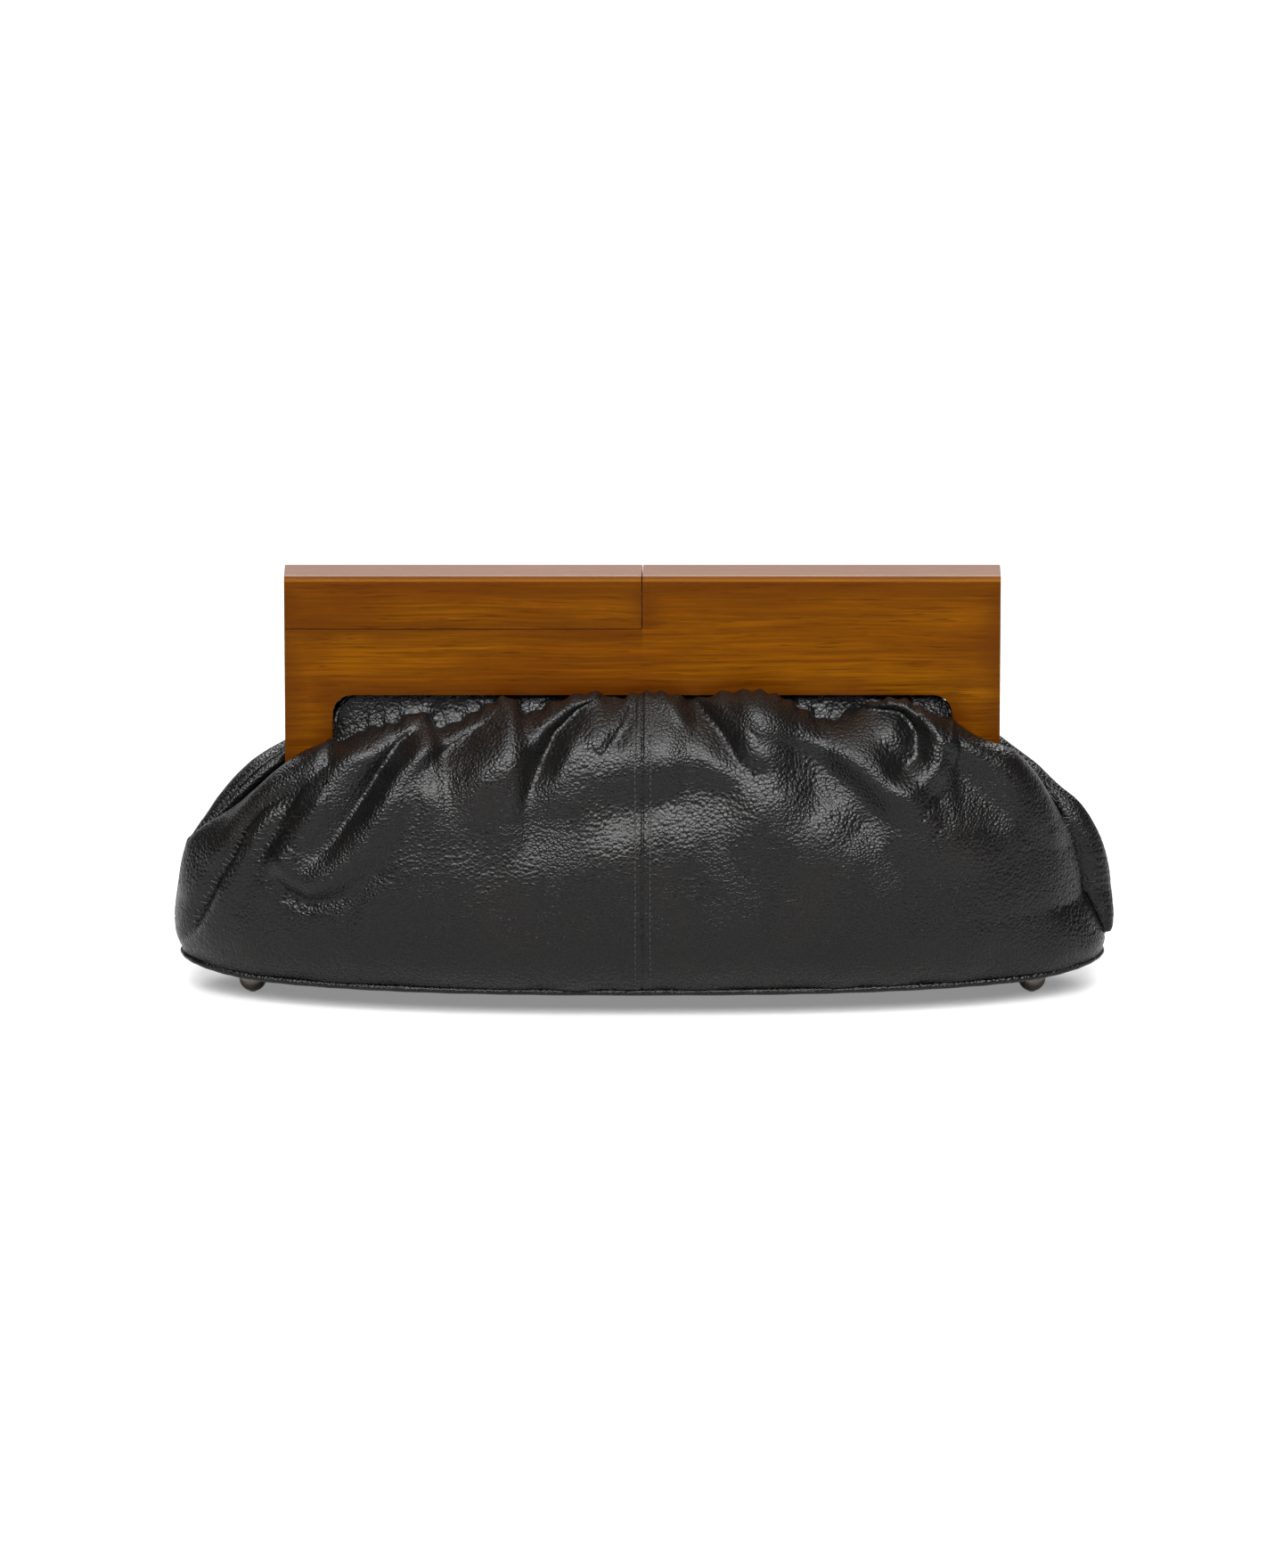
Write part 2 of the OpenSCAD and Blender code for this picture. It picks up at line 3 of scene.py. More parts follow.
import bmesh
import bpy
import numpy as np
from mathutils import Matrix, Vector

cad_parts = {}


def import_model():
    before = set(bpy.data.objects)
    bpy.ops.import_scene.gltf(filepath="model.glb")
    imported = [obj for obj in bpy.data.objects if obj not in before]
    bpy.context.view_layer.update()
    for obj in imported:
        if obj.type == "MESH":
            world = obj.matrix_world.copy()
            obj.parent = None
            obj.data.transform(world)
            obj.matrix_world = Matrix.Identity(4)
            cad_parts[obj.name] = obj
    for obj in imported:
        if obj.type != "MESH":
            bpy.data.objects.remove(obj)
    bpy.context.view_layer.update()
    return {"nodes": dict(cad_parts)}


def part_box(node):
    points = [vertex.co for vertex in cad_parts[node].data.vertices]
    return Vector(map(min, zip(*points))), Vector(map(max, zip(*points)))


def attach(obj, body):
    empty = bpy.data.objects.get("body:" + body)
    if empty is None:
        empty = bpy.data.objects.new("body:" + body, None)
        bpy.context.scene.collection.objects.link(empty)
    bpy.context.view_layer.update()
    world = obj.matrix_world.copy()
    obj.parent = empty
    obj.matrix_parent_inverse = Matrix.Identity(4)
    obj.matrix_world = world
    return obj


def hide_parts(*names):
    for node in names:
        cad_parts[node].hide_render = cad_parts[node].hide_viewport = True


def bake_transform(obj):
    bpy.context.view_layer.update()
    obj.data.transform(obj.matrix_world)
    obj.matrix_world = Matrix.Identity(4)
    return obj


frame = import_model()

# Sizes are in millimetres here, and meshes are made in metres
MM = 0.001

# How the photograph sees the purse: a long lens 18 degrees above the horizon.
# PHOTO_X is the pixel column of x = 0, and PHOTO_FLOOR the row of the floor under the front feet.
PHOTO_W, PHOTO_H = 1440, 1760
PHOTO_X, PHOTO_FLOOR = 721, 1113
MM_PER_PIXEL = 0.3625
FLOOR_SEEN = -3.05
ELEVATION = math.radians(18)
LOOK_COS, LOOK_SIN = math.cos(ELEVATION), math.sin(ELEVATION)
CAMERA_DISTANCE = 6.0


def photo_x(px):
    return (px - PHOTO_X) * MM_PER_PIXEL


def photo_v(py):
    """Height on the picture plane of a pixel row, where a point shows at z cos + y sin."""
    return (PHOTO_FLOOR - py) * MM_PER_PIXEL + FLOOR_SEEN


def size_of(node):
    lo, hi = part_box(node)
    return Vector(lo) / MM, Vector(hi) / MM


# The frame's sizes, from the CAD nodes
board_lo, board_hi = size_of("front_frame")
BOARD_T = -board_lo.y
FRAME_X = board_hi.x
LEG_Z, TOP_Z = board_lo.z, board_hi.z
LAP_H = 22.0
LAP_Z = TOP_Z - LAP_H
GAP = 0.3
LAP_SLANT = 0.02
LEG_W = 19.5
BAR_H = 50.0
WINDOW_X, WINDOW_Z = FRAME_X - LEG_W, TOP_Z - BAR_H
WINDOW_R = 8.0
TOP_R = 3.0
ARRIS, ARRIS_ANGLE = 0.8, 38
REBATE_REACH, REBATE_DEPTH = 6.0, 4.8

# The leather body's sizes
welt_lo, welt_hi = size_of("base_welt")
BASE_Z = welt_lo.z
WELT_D = welt_hi.z - welt_lo.z
BASE_X = welt_hi.x - WELT_D / 2
BASE_Y = welt_hi.y - WELT_D / 2
PANEL_Z = BASE_Z + WELT_D * 0.75
panel_lo, panel_hi = size_of("front_right_panel")
TIP_X, RIM_Z = panel_hi.x, panel_hi.z
BELLY_Y, BELLY_Z = -panel_lo.y, 40.0
LEATHER_T = 1.4
TIP_LIFT, TIP_LIFT_FROM = 3.0, 150
# The outer skin keeps this far from the middle plane, and its inner face a little less
SKIN_Y, SKIN_INNER_Y = 0.35, 0.2
# Clearance between the leather and the wood
WOOD_GAP = 0.3

# The plan of the body is a long oval: its depth falls as (1 - |x / half length| ^ power) ^ 0.5
BASE_POWER, RIM_POWER = 2.5, 3.0


def unit(t):
    return np.clip(t, 0, 1)


def smooth(t):
    t = unit(t)
    return t * t * (3 - 2 * t)


def curve(points, t):
    """A smooth curve through rows of (t, value, ...), for an array of t; one column per value."""
    rows = np.array(points, float)
    ts, values = rows[:, 0], rows[:, 1:]
    slopes = np.gradient(values, ts, axis=0)
    t = np.clip(t, ts[0], ts[-1])
    k = np.clip(np.searchsorted(ts, t, side="right") - 1, 0, len(ts) - 2)
    h = (ts[k + 1] - ts[k])[:, None]
    f = (t - ts[k])[:, None] / h
    return (
        values[k] * (1 + 2 * f) * (1 - f) ** 2
        + slopes[k] * h * f * (1 - f) ** 2
        + values[k + 1] * f * f * (3 - 2 * f)
        + slopes[k + 1] * h * f * f * (f - 1))


# Mesh helpers


def add_object(name, data):
    made = bpy.data.objects.new(name, data)
    bpy.context.scene.collection.objects.link(made)
    return made


def mesh_piece(name, points, faces, material):
    mesh = bpy.data.meshes.new(name)
    mesh.from_pydata([tuple(p) for p in np.asarray(points, float) * MM], [], faces)
    mesh.validate()
    mesh.shade_smooth()
    mesh.materials.append(material)
    return add_object(name, mesh)


def grid_faces(nu, nv):
    faces = []
    for i in range(nu - 1):
        a, b = i * nv, (i + 1) * nv
        faces += [(a + j, b + j, b + j + 1, a + j + 1) for j in range(nv - 1)]
    return faces


def shell_piece(name, outer, inner, material):
    """A closed skin between two grids of points, each of shape (nu, nv, 3)."""
    nu, nv, _ = outer.shape
    n = nu * nv
    faces = grid_faces(nu, nv)
    faces += [tuple(n + k for k in f[::-1]) for f in grid_faces(nu, nv)]
    rim = [i * nv for i in range(nu)]
    rim += [(nu - 1) * nv + j for j in range(1, nv)]
    rim += [i * nv + nv - 1 for i in range(nu - 2, -1, -1)]
    rim += list(range(nv - 2, 0, -1))
    faces += [(a, n + a, n + b, b) for a, b in zip(rim, rim[1:] + rim[:1])]
    points = np.concatenate([outer.reshape(-1, 3), inner.reshape(-1, 3)])
    return mesh_piece(name, points, faces, material)


def normals_of(grid):
    """Unit normals of a grid of points, as d/du x d/dv."""
    du = np.gradient(grid, axis=0)
    dv = np.gradient(grid, axis=1)
    n = np.cross(du, dv)
    return n / np.maximum(np.linalg.norm(n, axis=2, keepdims=True), 1e-9)


def tube_points(path, radius, sides, closed=False):
    """Rings round a path; radius is one number or one for each point."""
    path = np.asarray(path, float)
    if closed:
        along = np.roll(path, -1, 0) - np.roll(path, 1, 0)
    else:
        along = np.gradient(path, axis=0)
    along /= np.linalg.norm(along, axis=1, keepdims=True)
    up = np.array([0.0, 0.0, 1.0])
    side = np.cross(along, up)
    weak = np.linalg.norm(side, axis=1) < 1e-3
    side[weak] = (1.0, 0.0, 0.0)
    side /= np.linalg.norm(side, axis=1, keepdims=True)
    top = np.cross(side, along)
    angle = np.arange(sides) * 2 * math.pi / sides
    radius = np.broadcast_to(np.asarray(radius, float), (len(path),))[:, None, None]
    return (path[:, None]
            + radius * np.cos(angle)[None, :, None] * side[:, None]
            + radius * np.sin(angle)[None, :, None] * top[:, None])


def ring_faces(n, sides, closed):
    faces = []
    for i in range(n if closed else n - 1):
        a, b = i * sides, ((i + 1) % n) * sides
        for k in range(sides):
            k1 = (k + 1) % sides
            faces.append((a + k, a + k1, b + k1, b + k))
    if not closed:
        faces += [tuple(range(sides))[::-1], tuple(range((n - 1) * sides, n * sides))]
    return faces


# Node helpers for the materials


class Nodes:
    def __init__(self, name):
        self.material = bpy.data.materials.new(name)
        self.material.use_nodes = True
        self.tree = self.material.node_tree
        self.tree.nodes.clear()
        self.shader = self.add("ShaderNodeBsdfPrincipled")
        output = self.add("ShaderNodeOutputMaterial")
        self.tree.links.new(self.shader.outputs[0], output.inputs["Surface"])
        self.place = self.add("ShaderNodeTexCoord").outputs["Object"]

    def add(self, kind, settings=None, **inputs):
        node = self.tree.nodes.new(kind)
        for key, value in (settings or {}).items():
            setattr(node, key, value)
        for key, value in inputs.items():
            self.put(node, key.replace("_", " "), value)
        return node

    def put(self, node, key, value):
        socket = node.inputs[int(key)] if key.isdigit() else node.inputs[key]
        if isinstance(value, bpy.types.NodeSocket):
            self.tree.links.new(value, socket)
        else:
            socket.default_value = value

    def math(self, operation, *values, kind="ShaderNodeMath"):
        node = self.add(kind, {"operation": operation})
        for k, value in enumerate(values):
            self.put(node, str(k), value)
        return node.outputs[0]

    def plus(self, a, b):
        return self.math("ADD", a, b)

    def minus(self, a, b):
        return self.math("SUBTRACT", a, b)

    def times(self, a, b):
        return self.math("MULTIPLY", a, b)

    def least(self, a, b):
        return self.math("MINIMUM", a, b)

    def scaled(self, scale, source=None):
        return self.add("ShaderNodeMapping", Scale=scale, Vector=source or self.place).outputs[0]

    def noise(self, vector, scale, detail=2.0, rough=0.5, output="Fac"):
        node = self.add("ShaderNodeTexNoise", Vector=vector, Scale=scale, Detail=detail,
                        Roughness=rough)
        return node.outputs[output]

    def waves(self, scale, distortion, detail):
        """Slanted ridges, as of twill or twisted yarn."""
        node = self.add("ShaderNodeTexWave", {"wave_type": "BANDS", "bands_direction": "DIAGONAL"},
                        Vector=self.place, Scale=scale, Distortion=distortion, Detail=detail)
        return node.outputs["Fac"]

    def cells(self, vector, scale, feature="F1"):
        node = self.add("ShaderNodeTexVoronoi", {"feature": feature}, Vector=vector, Scale=scale)
        return node.outputs["Distance"]

    def blended(self, share, a, b):
        """a where share is 0 and b where it is 1."""
        return self.plus(self.times(a, self.minus(1.0, share)), self.times(b, share))

    def between(self, value, low, high, to_low=0.0, to_high=1.0):
        node = self.add("ShaderNodeMapRange", {"interpolation_type": "SMOOTHSTEP"})
        for key, number in zip(("Value", "From Min", "From Max", "To Min", "To Max"),
                               (value, low, high, to_low, to_high)):
            self.put(node, key, number)
        return node.outputs[0]

    def ramp(self, value, stops):
        node = self.add("ShaderNodeValToRGB", Fac=value)
        elements = node.color_ramp.elements
        while len(elements) < len(stops):
            elements.new(0.5)
        for element, (place, colour) in zip(elements, stops):
            element.position = place
            element.color = (*colour, 1)
        return node.outputs["Color"]

    def mix(self, factor, a, b):
        node = self.add("ShaderNodeMix", {"data_type": "RGBA"})
        for key, value in ((0, factor), (6, a), (7, b)):
            if isinstance(value, tuple) and len(value) == 3:
                value = (*value, 1)
            self.put(node, str(key), value)
        return node.outputs[2]

    def shift(self, vector, amount, noise):
        """Moves a vector by a centred colour noise times amount."""
        kind = "ShaderNodeVectorMath"
        centred = self.math("SUBTRACT", noise, (0.5, 0.5, 0.5), kind=kind)
        return self.math("MULTIPLY_ADD", centred, (amount,) * 3, vector, kind=kind)

    def bump(self, height, distance, strength=1.0):
        node = self.add("ShaderNodeBump", Height=height, Distance=distance, Strength=strength)
        return node.outputs[0]

    def set(self, **inputs):
        for key, value in inputs.items():
            self.put(self.shader, key.replace("_", " "), value)
        return self.material


# Materials


def leather_material():
    """Black pebbled cowhide: shallow domed cells of 1 to 2 mm between narrow dull creases, which are
    painted darker as shade.
    """
    n = Nodes("pebbled_leather")
    wobble = n.shift(n.place, 0.0008, n.noise(n.place, 480, output="Color"))
    share = n.between(n.noise(n.place, 38, 2), 0.42, 0.6)
    coarse, small = 600, 780
    groove = n.blended(share, n.cells(wobble, coarse, "DISTANCE_TO_EDGE"),
                       n.cells(wobble, small, "DISTANCE_TO_EDGE"))
    plateau = n.between(groove, -0.05, 0.3)
    from_middle = n.blended(share, n.cells(wobble, coarse), n.cells(wobble, small))
    dome = n.minus(1.0, n.math("POWER", from_middle, 2.0))
    fine = n.noise(n.place, 2400, 3, 0.6)
    wrinkles = n.noise(n.scaled((1.0, 1.0, 1.6)), 150, 2, 0.5)
    height = n.plus(n.times(plateau, 0.15), dome)
    height = n.plus(n.plus(height, n.times(fine, 0.05)), n.times(wrinkles, 0.5))
    worn = n.between(n.noise(n.place, 26, 3), 0.35, 0.7)
    # Painted shade: the creases between the cells get a darker colour than the cell tops
    colour = n.mix(plateau, (0.0008, 0.0008, 0.0008), (0.0030, 0.0028, 0.0027))
    colour = n.mix(n.times(worn, 0.4), colour, (0.0050, 0.0037, 0.0031))
    rough = n.between(plateau, 0.0, 1.0, 0.42, 0.24)
    return n.set(Base_Color=colour, Roughness=rough, Specular_IOR_Level=0.25,
                 Normal=n.bump(height, 0.00030, 1.0))


def wood_material(name, seed):
    """Honey-brown lacquered wood with its grain along the board and burnished edges."""
    n = Nodes(name)
    away = (seed * 0.37, seed * 0.11, seed * 0.23)
    place = n.add("ShaderNodeMapping", Location=away, Vector=n.place).outputs[0]
    warped = n.shift(place, 0.006, n.noise(place, 9, output="Color"))
    bands = n.noise(n.scaled((1.6, 9.0, 26.0), warped), 2.2, 4, 0.6)
    streaks = n.noise(n.scaled((5.0, 60.0, 240.0), warped), 3.0, 5, 0.65)
    pores = n.noise(n.scaled((40.0, 700.0, 900.0), warped), 1.6, 2, 0.5)
    pore = n.between(pores, 0.60, 0.70)
    separate = n.add("ShaderNodeSeparateXYZ", Vector=n.place)
    x, z = separate.outputs[0], separate.outputs[2]
    far = n.math("ABSOLUTE", x)
    inside = n.least(n.minus(FRAME_X * MM, far),
                     n.least(n.minus(TOP_Z * MM, z), n.minus(z, LEG_Z * MM)))
    window = n.math("MAXIMUM", n.minus(far, WINDOW_X * MM), n.minus(z, WINDOW_Z * MM))
    # Each seam of the lap counts on its own stretch and is a metre off on the rest
    lap_seam = n.plus(n.math("ABSOLUTE", n.minus(z, LAP_Z * MM)), n.math("GREATER_THAN", x, 0.0))
    middle_seam = n.plus(far, n.math("LESS_THAN", z, LAP_Z * MM))
    edge = n.least(n.least(inside, window), n.least(lap_seam, middle_seam))
    edge = n.plus(edge, n.times(n.minus(bands, 0.5), 0.012))
    burnish = n.between(edge, 0.0, 0.011, 1.0, 0.0)
    ends = n.between(inside, 0.004, 0.03, 0.45, 0.0)
    base = n.ramp(bands, [(0.34, (0.080, 0.0205, 0.0003)), (0.5, (0.112, 0.0335, 0.0003)),
                          (0.66, (0.140, 0.0490, 0.0005))])
    red = n.between(n.noise(n.scaled((7.0, 9.0, 12.0), warped), 1.7, 3, 0.6), 0.46, 0.66, 0.0, 0.6)
    fine = n.noise(n.scaled((14.0, 200.0, 520.0), warped), 2.0, 4, 0.7)
    for share, tone in (
            (red, (0.076, 0.0150, 0.0005)),
            (n.between(fine, 0.40, 0.60, 0.5, 0.0), (0.050, 0.0120, 0.0003)),
            (n.between(streaks, 0.38, 0.60, 0.7, 0.0), (0.041, 0.0100, 0.0003)),
            (n.times(burnish, 0.62), (0.036, 0.0072, 0.0004)),
            (n.times(ends, 0.6), (0.044, 0.0100, 0.0008)),
            (n.times(pore, 0.6), (0.022, 0.0052, 0.0003))):
        base = n.mix(share, base, tone)
    height = n.minus(n.times(streaks, 0.5), n.times(pore, 0.5))
    rough = n.between(streaks, 0.3, 0.7, 0.42, 0.33)
    return n.set(Base_Color=base, Roughness=rough, Specular_IOR_Level=0.3,
                 Specular_Tint=(1.0, 0.46, 0.08, 1),
                 Normal=n.bump(height, 0.00006, 0.6))


def lining_material():
    """Matt tan twill."""
    n = Nodes("twill_lining")
    yarn = n.waves(520, 0.6, 1)
    shade = n.noise(n.place, 60, 4, 0.6)
    colour = n.ramp(shade, [(0.3, (0.215, 0.165, 0.105)), (0.7, (0.290, 0.232, 0.155))])
    colour = n.mix(n.times(yarn, 0.35), colour, (0.150, 0.112, 0.070))
    height = n.plus(yarn, n.times(shade, 0.4))
    return n.set(Base_Color=colour, Roughness=0.85, Sheen_Weight=0.25, Sheen_Roughness=0.5,
                 Normal=n.bump(height, 0.00012, 0.7))


def metal_material(name, colour, rough):
    """Brushed nickel plate with faint scratches and dull spots."""
    n = Nodes(name)
    brush = n.noise(n.scaled((30.0, 30.0, 900.0)), 4, 3, 0.6)
    spots = n.noise(n.place, 160, 4, 0.6)
    tone = n.mix(n.between(spots, 0.35, 0.75), tuple(colour), tuple(c * 0.72 for c in colour))
    value = n.plus(n.between(brush, 0.3, 0.7, rough, rough + 0.1),
                   n.times(n.between(spots, 0.5, 0.8), 0.12))
    return n.set(Base_Color=tone, Metallic=1.0, Roughness=value,
                 Normal=n.bump(brush, 0.00002, 0.25))


def thread_material():
    """Black waxed thread with its twist."""
    n = Nodes("waxed_thread")
    twist = n.waves(1500, 0.3, 2)
    colour = n.mix(twist, (0.006, 0.006, 0.006), (0.016, 0.015, 0.015))
    return n.set(Base_Color=colour, Roughness=0.5, Normal=n.bump(twist, 0.00008, 0.8))


def fibreboard_material():
    n = Nodes("fibreboard")
    flecks = n.noise(n.place, 900, 4, 0.7)
    cloud = n.noise(n.place, 60, 3, 0.5)
    colour = n.ramp(flecks, [(0.3, (0.20, 0.125, 0.065)), (0.7, (0.38, 0.27, 0.16))])
    colour = n.mix(n.times(cloud, 0.4), colour, (0.25, 0.17, 0.10))
    return n.set(Base_Color=colour, Roughness=0.9, Normal=n.bump(flecks, 0.0001, 0.6))


LEATHER = leather_material()
WOOD_FRONT = wood_material("honey_wood_front", 1)
WOOD_REAR = wood_material("honey_wood_rear", 2)
LINING = lining_material()
NICKEL = metal_material("brushed_nickel", (0.13, 0.112, 0.096), 0.15)
STEEL = metal_material("plated_steel", (0.50, 0.47, 0.43), 0.34)
THREAD = thread_material()
FIBREBOARD = fibreboard_material()


# The leather body

# Where the upper edge of the leather runs: share of the half length, x, depth, height.
# It is clamped along the window's top and round its corner, comes out in front of the leg
# as a turned hem, goes round the leg's outer edge and down to the tack at the side seam.
CLAMPED = [(0.00, 0, 4.3, 126.2), (0.30, 60, 4.3, 126.2), (0.52, 106, 4.3, 126.2),
           (0.60, 117.0, 4.3, 125.6)]
FRONT_RIGHT = CLAMPED + [
    (0.66, 122.6, 4.6, 122.4), (0.715, 124.6, 8.0, 118.6), (0.76, 127.0, 12.9, 117.6),
    (0.82, 136.0, 13.4, 110.5), (0.88, 146.0, 12.8, 101.5), (0.92, 152.0, 9.0, 94.0),
    (0.96, 160.0, 4.5, 82.5), (1.00, 172.5, 0.8, 66.0)]
CORNER = CLAMPED + [(0.66, 122.8, 4.6, 120.0), (0.715, 124.8, 8.0, 113.0)]
FRONT_LEFT = CORNER + [
    (0.76, 127.0, 12.9, 108.6), (0.82, 136.0, 13.4, 100.5), (0.88, 147.0, 12.4, 91.0),
    (0.915, 158.4, 8.0, 82.0), (0.95, 172.5, 4.0, 73.2), (0.98, 181.3, 1.8, 66.0),
    (1.0, 186.0, 0.8, 59.5)]
REAR_RIGHT = CORNER + [
    (0.76, 127.0, 12.9, 108.6), (0.82, 136.0, 13.4, 101.5), (0.88, 146.0, 12.8, 94.5),
    (0.92, 154.4, 10.0, 88.0), (0.955, 164.6, 7.0, 80.8), (0.98, 170.4, 3.6, 74.2),
    (1.0, 172.5, 0.8, 66.0)]
REAR_LEFT = CORNER + [
    (0.76, 127.0, 12.9, 108.0), (0.82, 136.0, 13.4, 100.5), (0.88, 146.0, 12.8, 92.5),
    (0.91, 153.0, 11.0, 87.6), (0.945, 164.0, 8.0, 79.0), (0.975, 174.5, 4.5, 70.0),
    (1.0, 186.0, 0.8, 59.5)]

# The side seams, as x for each height, and how far the leather stands out beyond them:
# the right seam lies in a valley, and the rear leather wraps round the end to reach it.
SEAM_RIGHT = [(13.7, 188.0), (19.0, 188.6), (26.0, 186.2), (33.0, 183.2), (41.8, 178.8),
              (52.0, 175.6), (62.0, 173.2), (66.0, 172.5)]
SEAM_LEFT = [(13.7, 188.0), (19.0, 189.8), (26.0, 190.6), (38.0, 189.8), (50.0, 188.0),
             (59.5, 186.0)]
NO_BULGE = [(13.7, 0.0), (66.0, 0.0)]
BULGE_WRAP = [(12.5, 0.0), (16.0, 0.0), (19.0, 1.6), (22.0, 4.2), (26.0, 6.4), (33.0, 9.0),
              (41.8, 12.4), (52.0, 13.6), (66.0, 12.5)]

# Pixel rows of the crest of the front leather, by pixel column of the photograph
CREST_ROWS = [
    (376, 842), (400, 822), (440, 809), (478, 800), (492, 812), (515, 806), (545, 792),
    (574, 783), (590, 797), (612, 790), (640, 780), (668, 777), (688, 784), (712, 779),
    (752, 778), (780, 788), (800, 780), (822, 775), (846, 771), (872, 777), (902, 793),
    (930, 805), (952, 800), (978, 788), (1006, 781), (1034, 791), (1064, 804)]
CREST_DEPTH = 15.0

# The grid of the leather: rows below the belly, rows up to the crest and rows of the part
# that turns in, and columns, which lie closer together by the centre seam
LOWER_ROWS, UPPER_ROWS, TAIL_ROWS = 24, 78, 20
SKIN_ROWS = LOWER_ROWS + UPPER_ROWS
COLUMNS = 361
SEAM_COLUMNS, SEAM_SHARE = 27, 0.022


def power(z):
    return BASE_POWER + (RIM_POWER - BASE_POWER) * unit((z - PANEL_Z) / (RIM_Z - PANEL_Z))


def lower_depth(z):
    return BASE_Y + (BELLY_Y - BASE_Y) * (1 - (1 - (z - PANEL_Z) / (BELLY_Z - PANEL_Z)) ** 2.5)


def tip_rise(x):
    return TIP_LIFT * unit((np.abs(x) - TIP_LIFT_FROM) / (BASE_X - TIP_LIFT_FROM)) ** 2


# The bulged end: where it starts to turn in, its plan, and how deep its turn is
WRAP_FROM, WRAP_POWER = 0.94, 3.6
WRAP_DEPTH_SHARE, WRAP_DEPTH_MOST = 0.75, 9.5
# The bulge takes over from the oval plan while it grows to this
WRAP_FULL = 3.0


def spread(u):
    """Shares of the half length with their spacing closed up towards the round end."""
    return u + (1 - u) * u ** 16


def oval(u, power_here):
    return np.sqrt(unit(1 - u ** power_here))


def plan_at(u, z, seam, bulge):
    """x and depth of one side of a level section, for shares u of the half length."""
    height = np.array([z])
    end = curve(seam, height)[0, 0]
    out = curve(bulge, height)[0, 0]
    depth = lower_depth(z)
    round_x, round_d = end * spread(u), depth * oval(spread(u), power(z))
    if out < 0.01:
        return round_x, round_d
    far, back = end + out, min(out * WRAP_DEPTH_SHARE, WRAP_DEPTH_MOST)
    along = unit(u / WRAP_FROM)
    along = along + 0.06 * along * (1 - along) * np.sin(math.pi * along)
    wrap = unit((u - WRAP_FROM) / (1 - WRAP_FROM)) * math.pi / 2
    x = np.where(wrap > 0, end + out * np.cos(wrap), far * along)
    d = np.where(wrap > 0, back * (1 - np.sin(wrap)),
                 back + (depth - back) * (1 - along ** WRAP_POWER))
    k = smooth(out / WRAP_FULL)
    return round_x * (1 - k) + x * k, round_d * (1 - k) + d * k


def columns():
    """Shares of the half length, negative on the left."""
    side = np.linspace(-1, 1, COLUMNS)
    seam = np.linspace(-SEAM_SHARE, SEAM_SHARE, SEAM_COLUMNS)
    return np.sort(np.concatenate([side[np.abs(side) > SEAM_SHARE * 1.08], seam]))


def edge_of(a, left, right):
    """x, depth and height of the upper edge for signed shares of the half length."""
    out = np.where((a < 0)[:, None], curve(left, np.abs(a)), curve(right, np.abs(a)))
    out[:, 0] *= np.sign(a)
    return out


def crest_of(a, edge):
    """The crest where the leather turns down in front of the window, as x, depth and height.

    The second result is 0 over the window and 1 where the upper edge is a turned hem.
    """
    x = edge[:, 0] * 1.015
    table = [(photo_x(px), (photo_v(py) + LOOK_SIN * CREST_DEPTH) / LOOK_COS)
             for px, py in CREST_ROWS]
    z = curve(table, x)[:, 0]
    hem = smooth((np.abs(a) - 0.69) / 0.08)
    depth = CREST_DEPTH * (1 - hem) + edge[:, 1] * hem
    height = z * (1 - hem) + edge[:, 2] * hem
    return np.stack([x * (1 - hem) + edge[:, 0] * hem, depth, height], 1), hem


def level_row(a, z, ends):
    """The points of one level section, from the left seam to the right one."""
    u = np.abs(a)
    (seam_l, bulge_l), (seam_r, bulge_r) = ends
    xl, dl = plan_at(u, z, seam_l, bulge_l)
    xr, dr = plan_at(u, z, seam_r, bulge_r)
    return np.where(a < 0, -xl, xr), np.where(a < 0, dl, dr)


def through(rows, s):
    """The points at share s of smooth curves through evenly spaced rows of points."""
    last = len(rows) - 1
    k = min(int(s * last), last - 1)
    f = (s - np.linspace(0, 1, len(rows))[k]) * last
    p0, p1, p2, p3 = (rows[min(max(k + i, 0), last)] for i in (-1, 0, 1, 2))
    return 0.5 * (2 * p1 + (p2 - p0) * f + (2 * p0 - 5 * p1 + 4 * p2 - p3) * f ** 2
                  + (3 * p1 - p0 - 3 * p2 + p3) * f ** 3)


def turned_in(a, edge, crest, hem):
    """The rows from the crest in to the clamped edge, or round the hem where there is one."""
    x, deep, top = crest[:, 0], crest[:, 1], crest[:, 2]
    low = np.minimum(top - 5.0, WINDOW_Z - 1.5)
    # Depth and height over the window, then the same at the hem
    into = [(deep, top, deep, top),
            (np.full_like(low, 12.6), top - 1.3, deep - 0.6, top - 0.3),
            (np.full_like(low, 10.9), low + 1.2, deep - 1.0, top - 1.2),
            (np.full_like(low, 8.0), low, deep - 1.2, top - 2.2),
            (np.full_like(low, 5.4), (low + edge[:, 2]) / 2, deep - 1.3, top - 3.4),
            (edge[:, 1], edge[:, 2], deep - 1.4, top - 5.0)]
    tail = [np.stack([d * (1 - hem) + dh * hem, z * (1 - hem) + zh * hem], 1)
            for d, z, dh, zh in into]
    shut = smooth((1 - np.abs(a)) / 0.05)[:, None]
    tail = np.array([tail[0] + (row - tail[0]) * shut for row in tail])
    for s in np.linspace(0, 1, TAIL_ROWS):
        dz = through(tail, s)
        yield np.stack([x * (1 - s) + edge[:, 0] * s, -np.maximum(dz[:, 0], SKIN_Y), dz[:, 1]], 1)


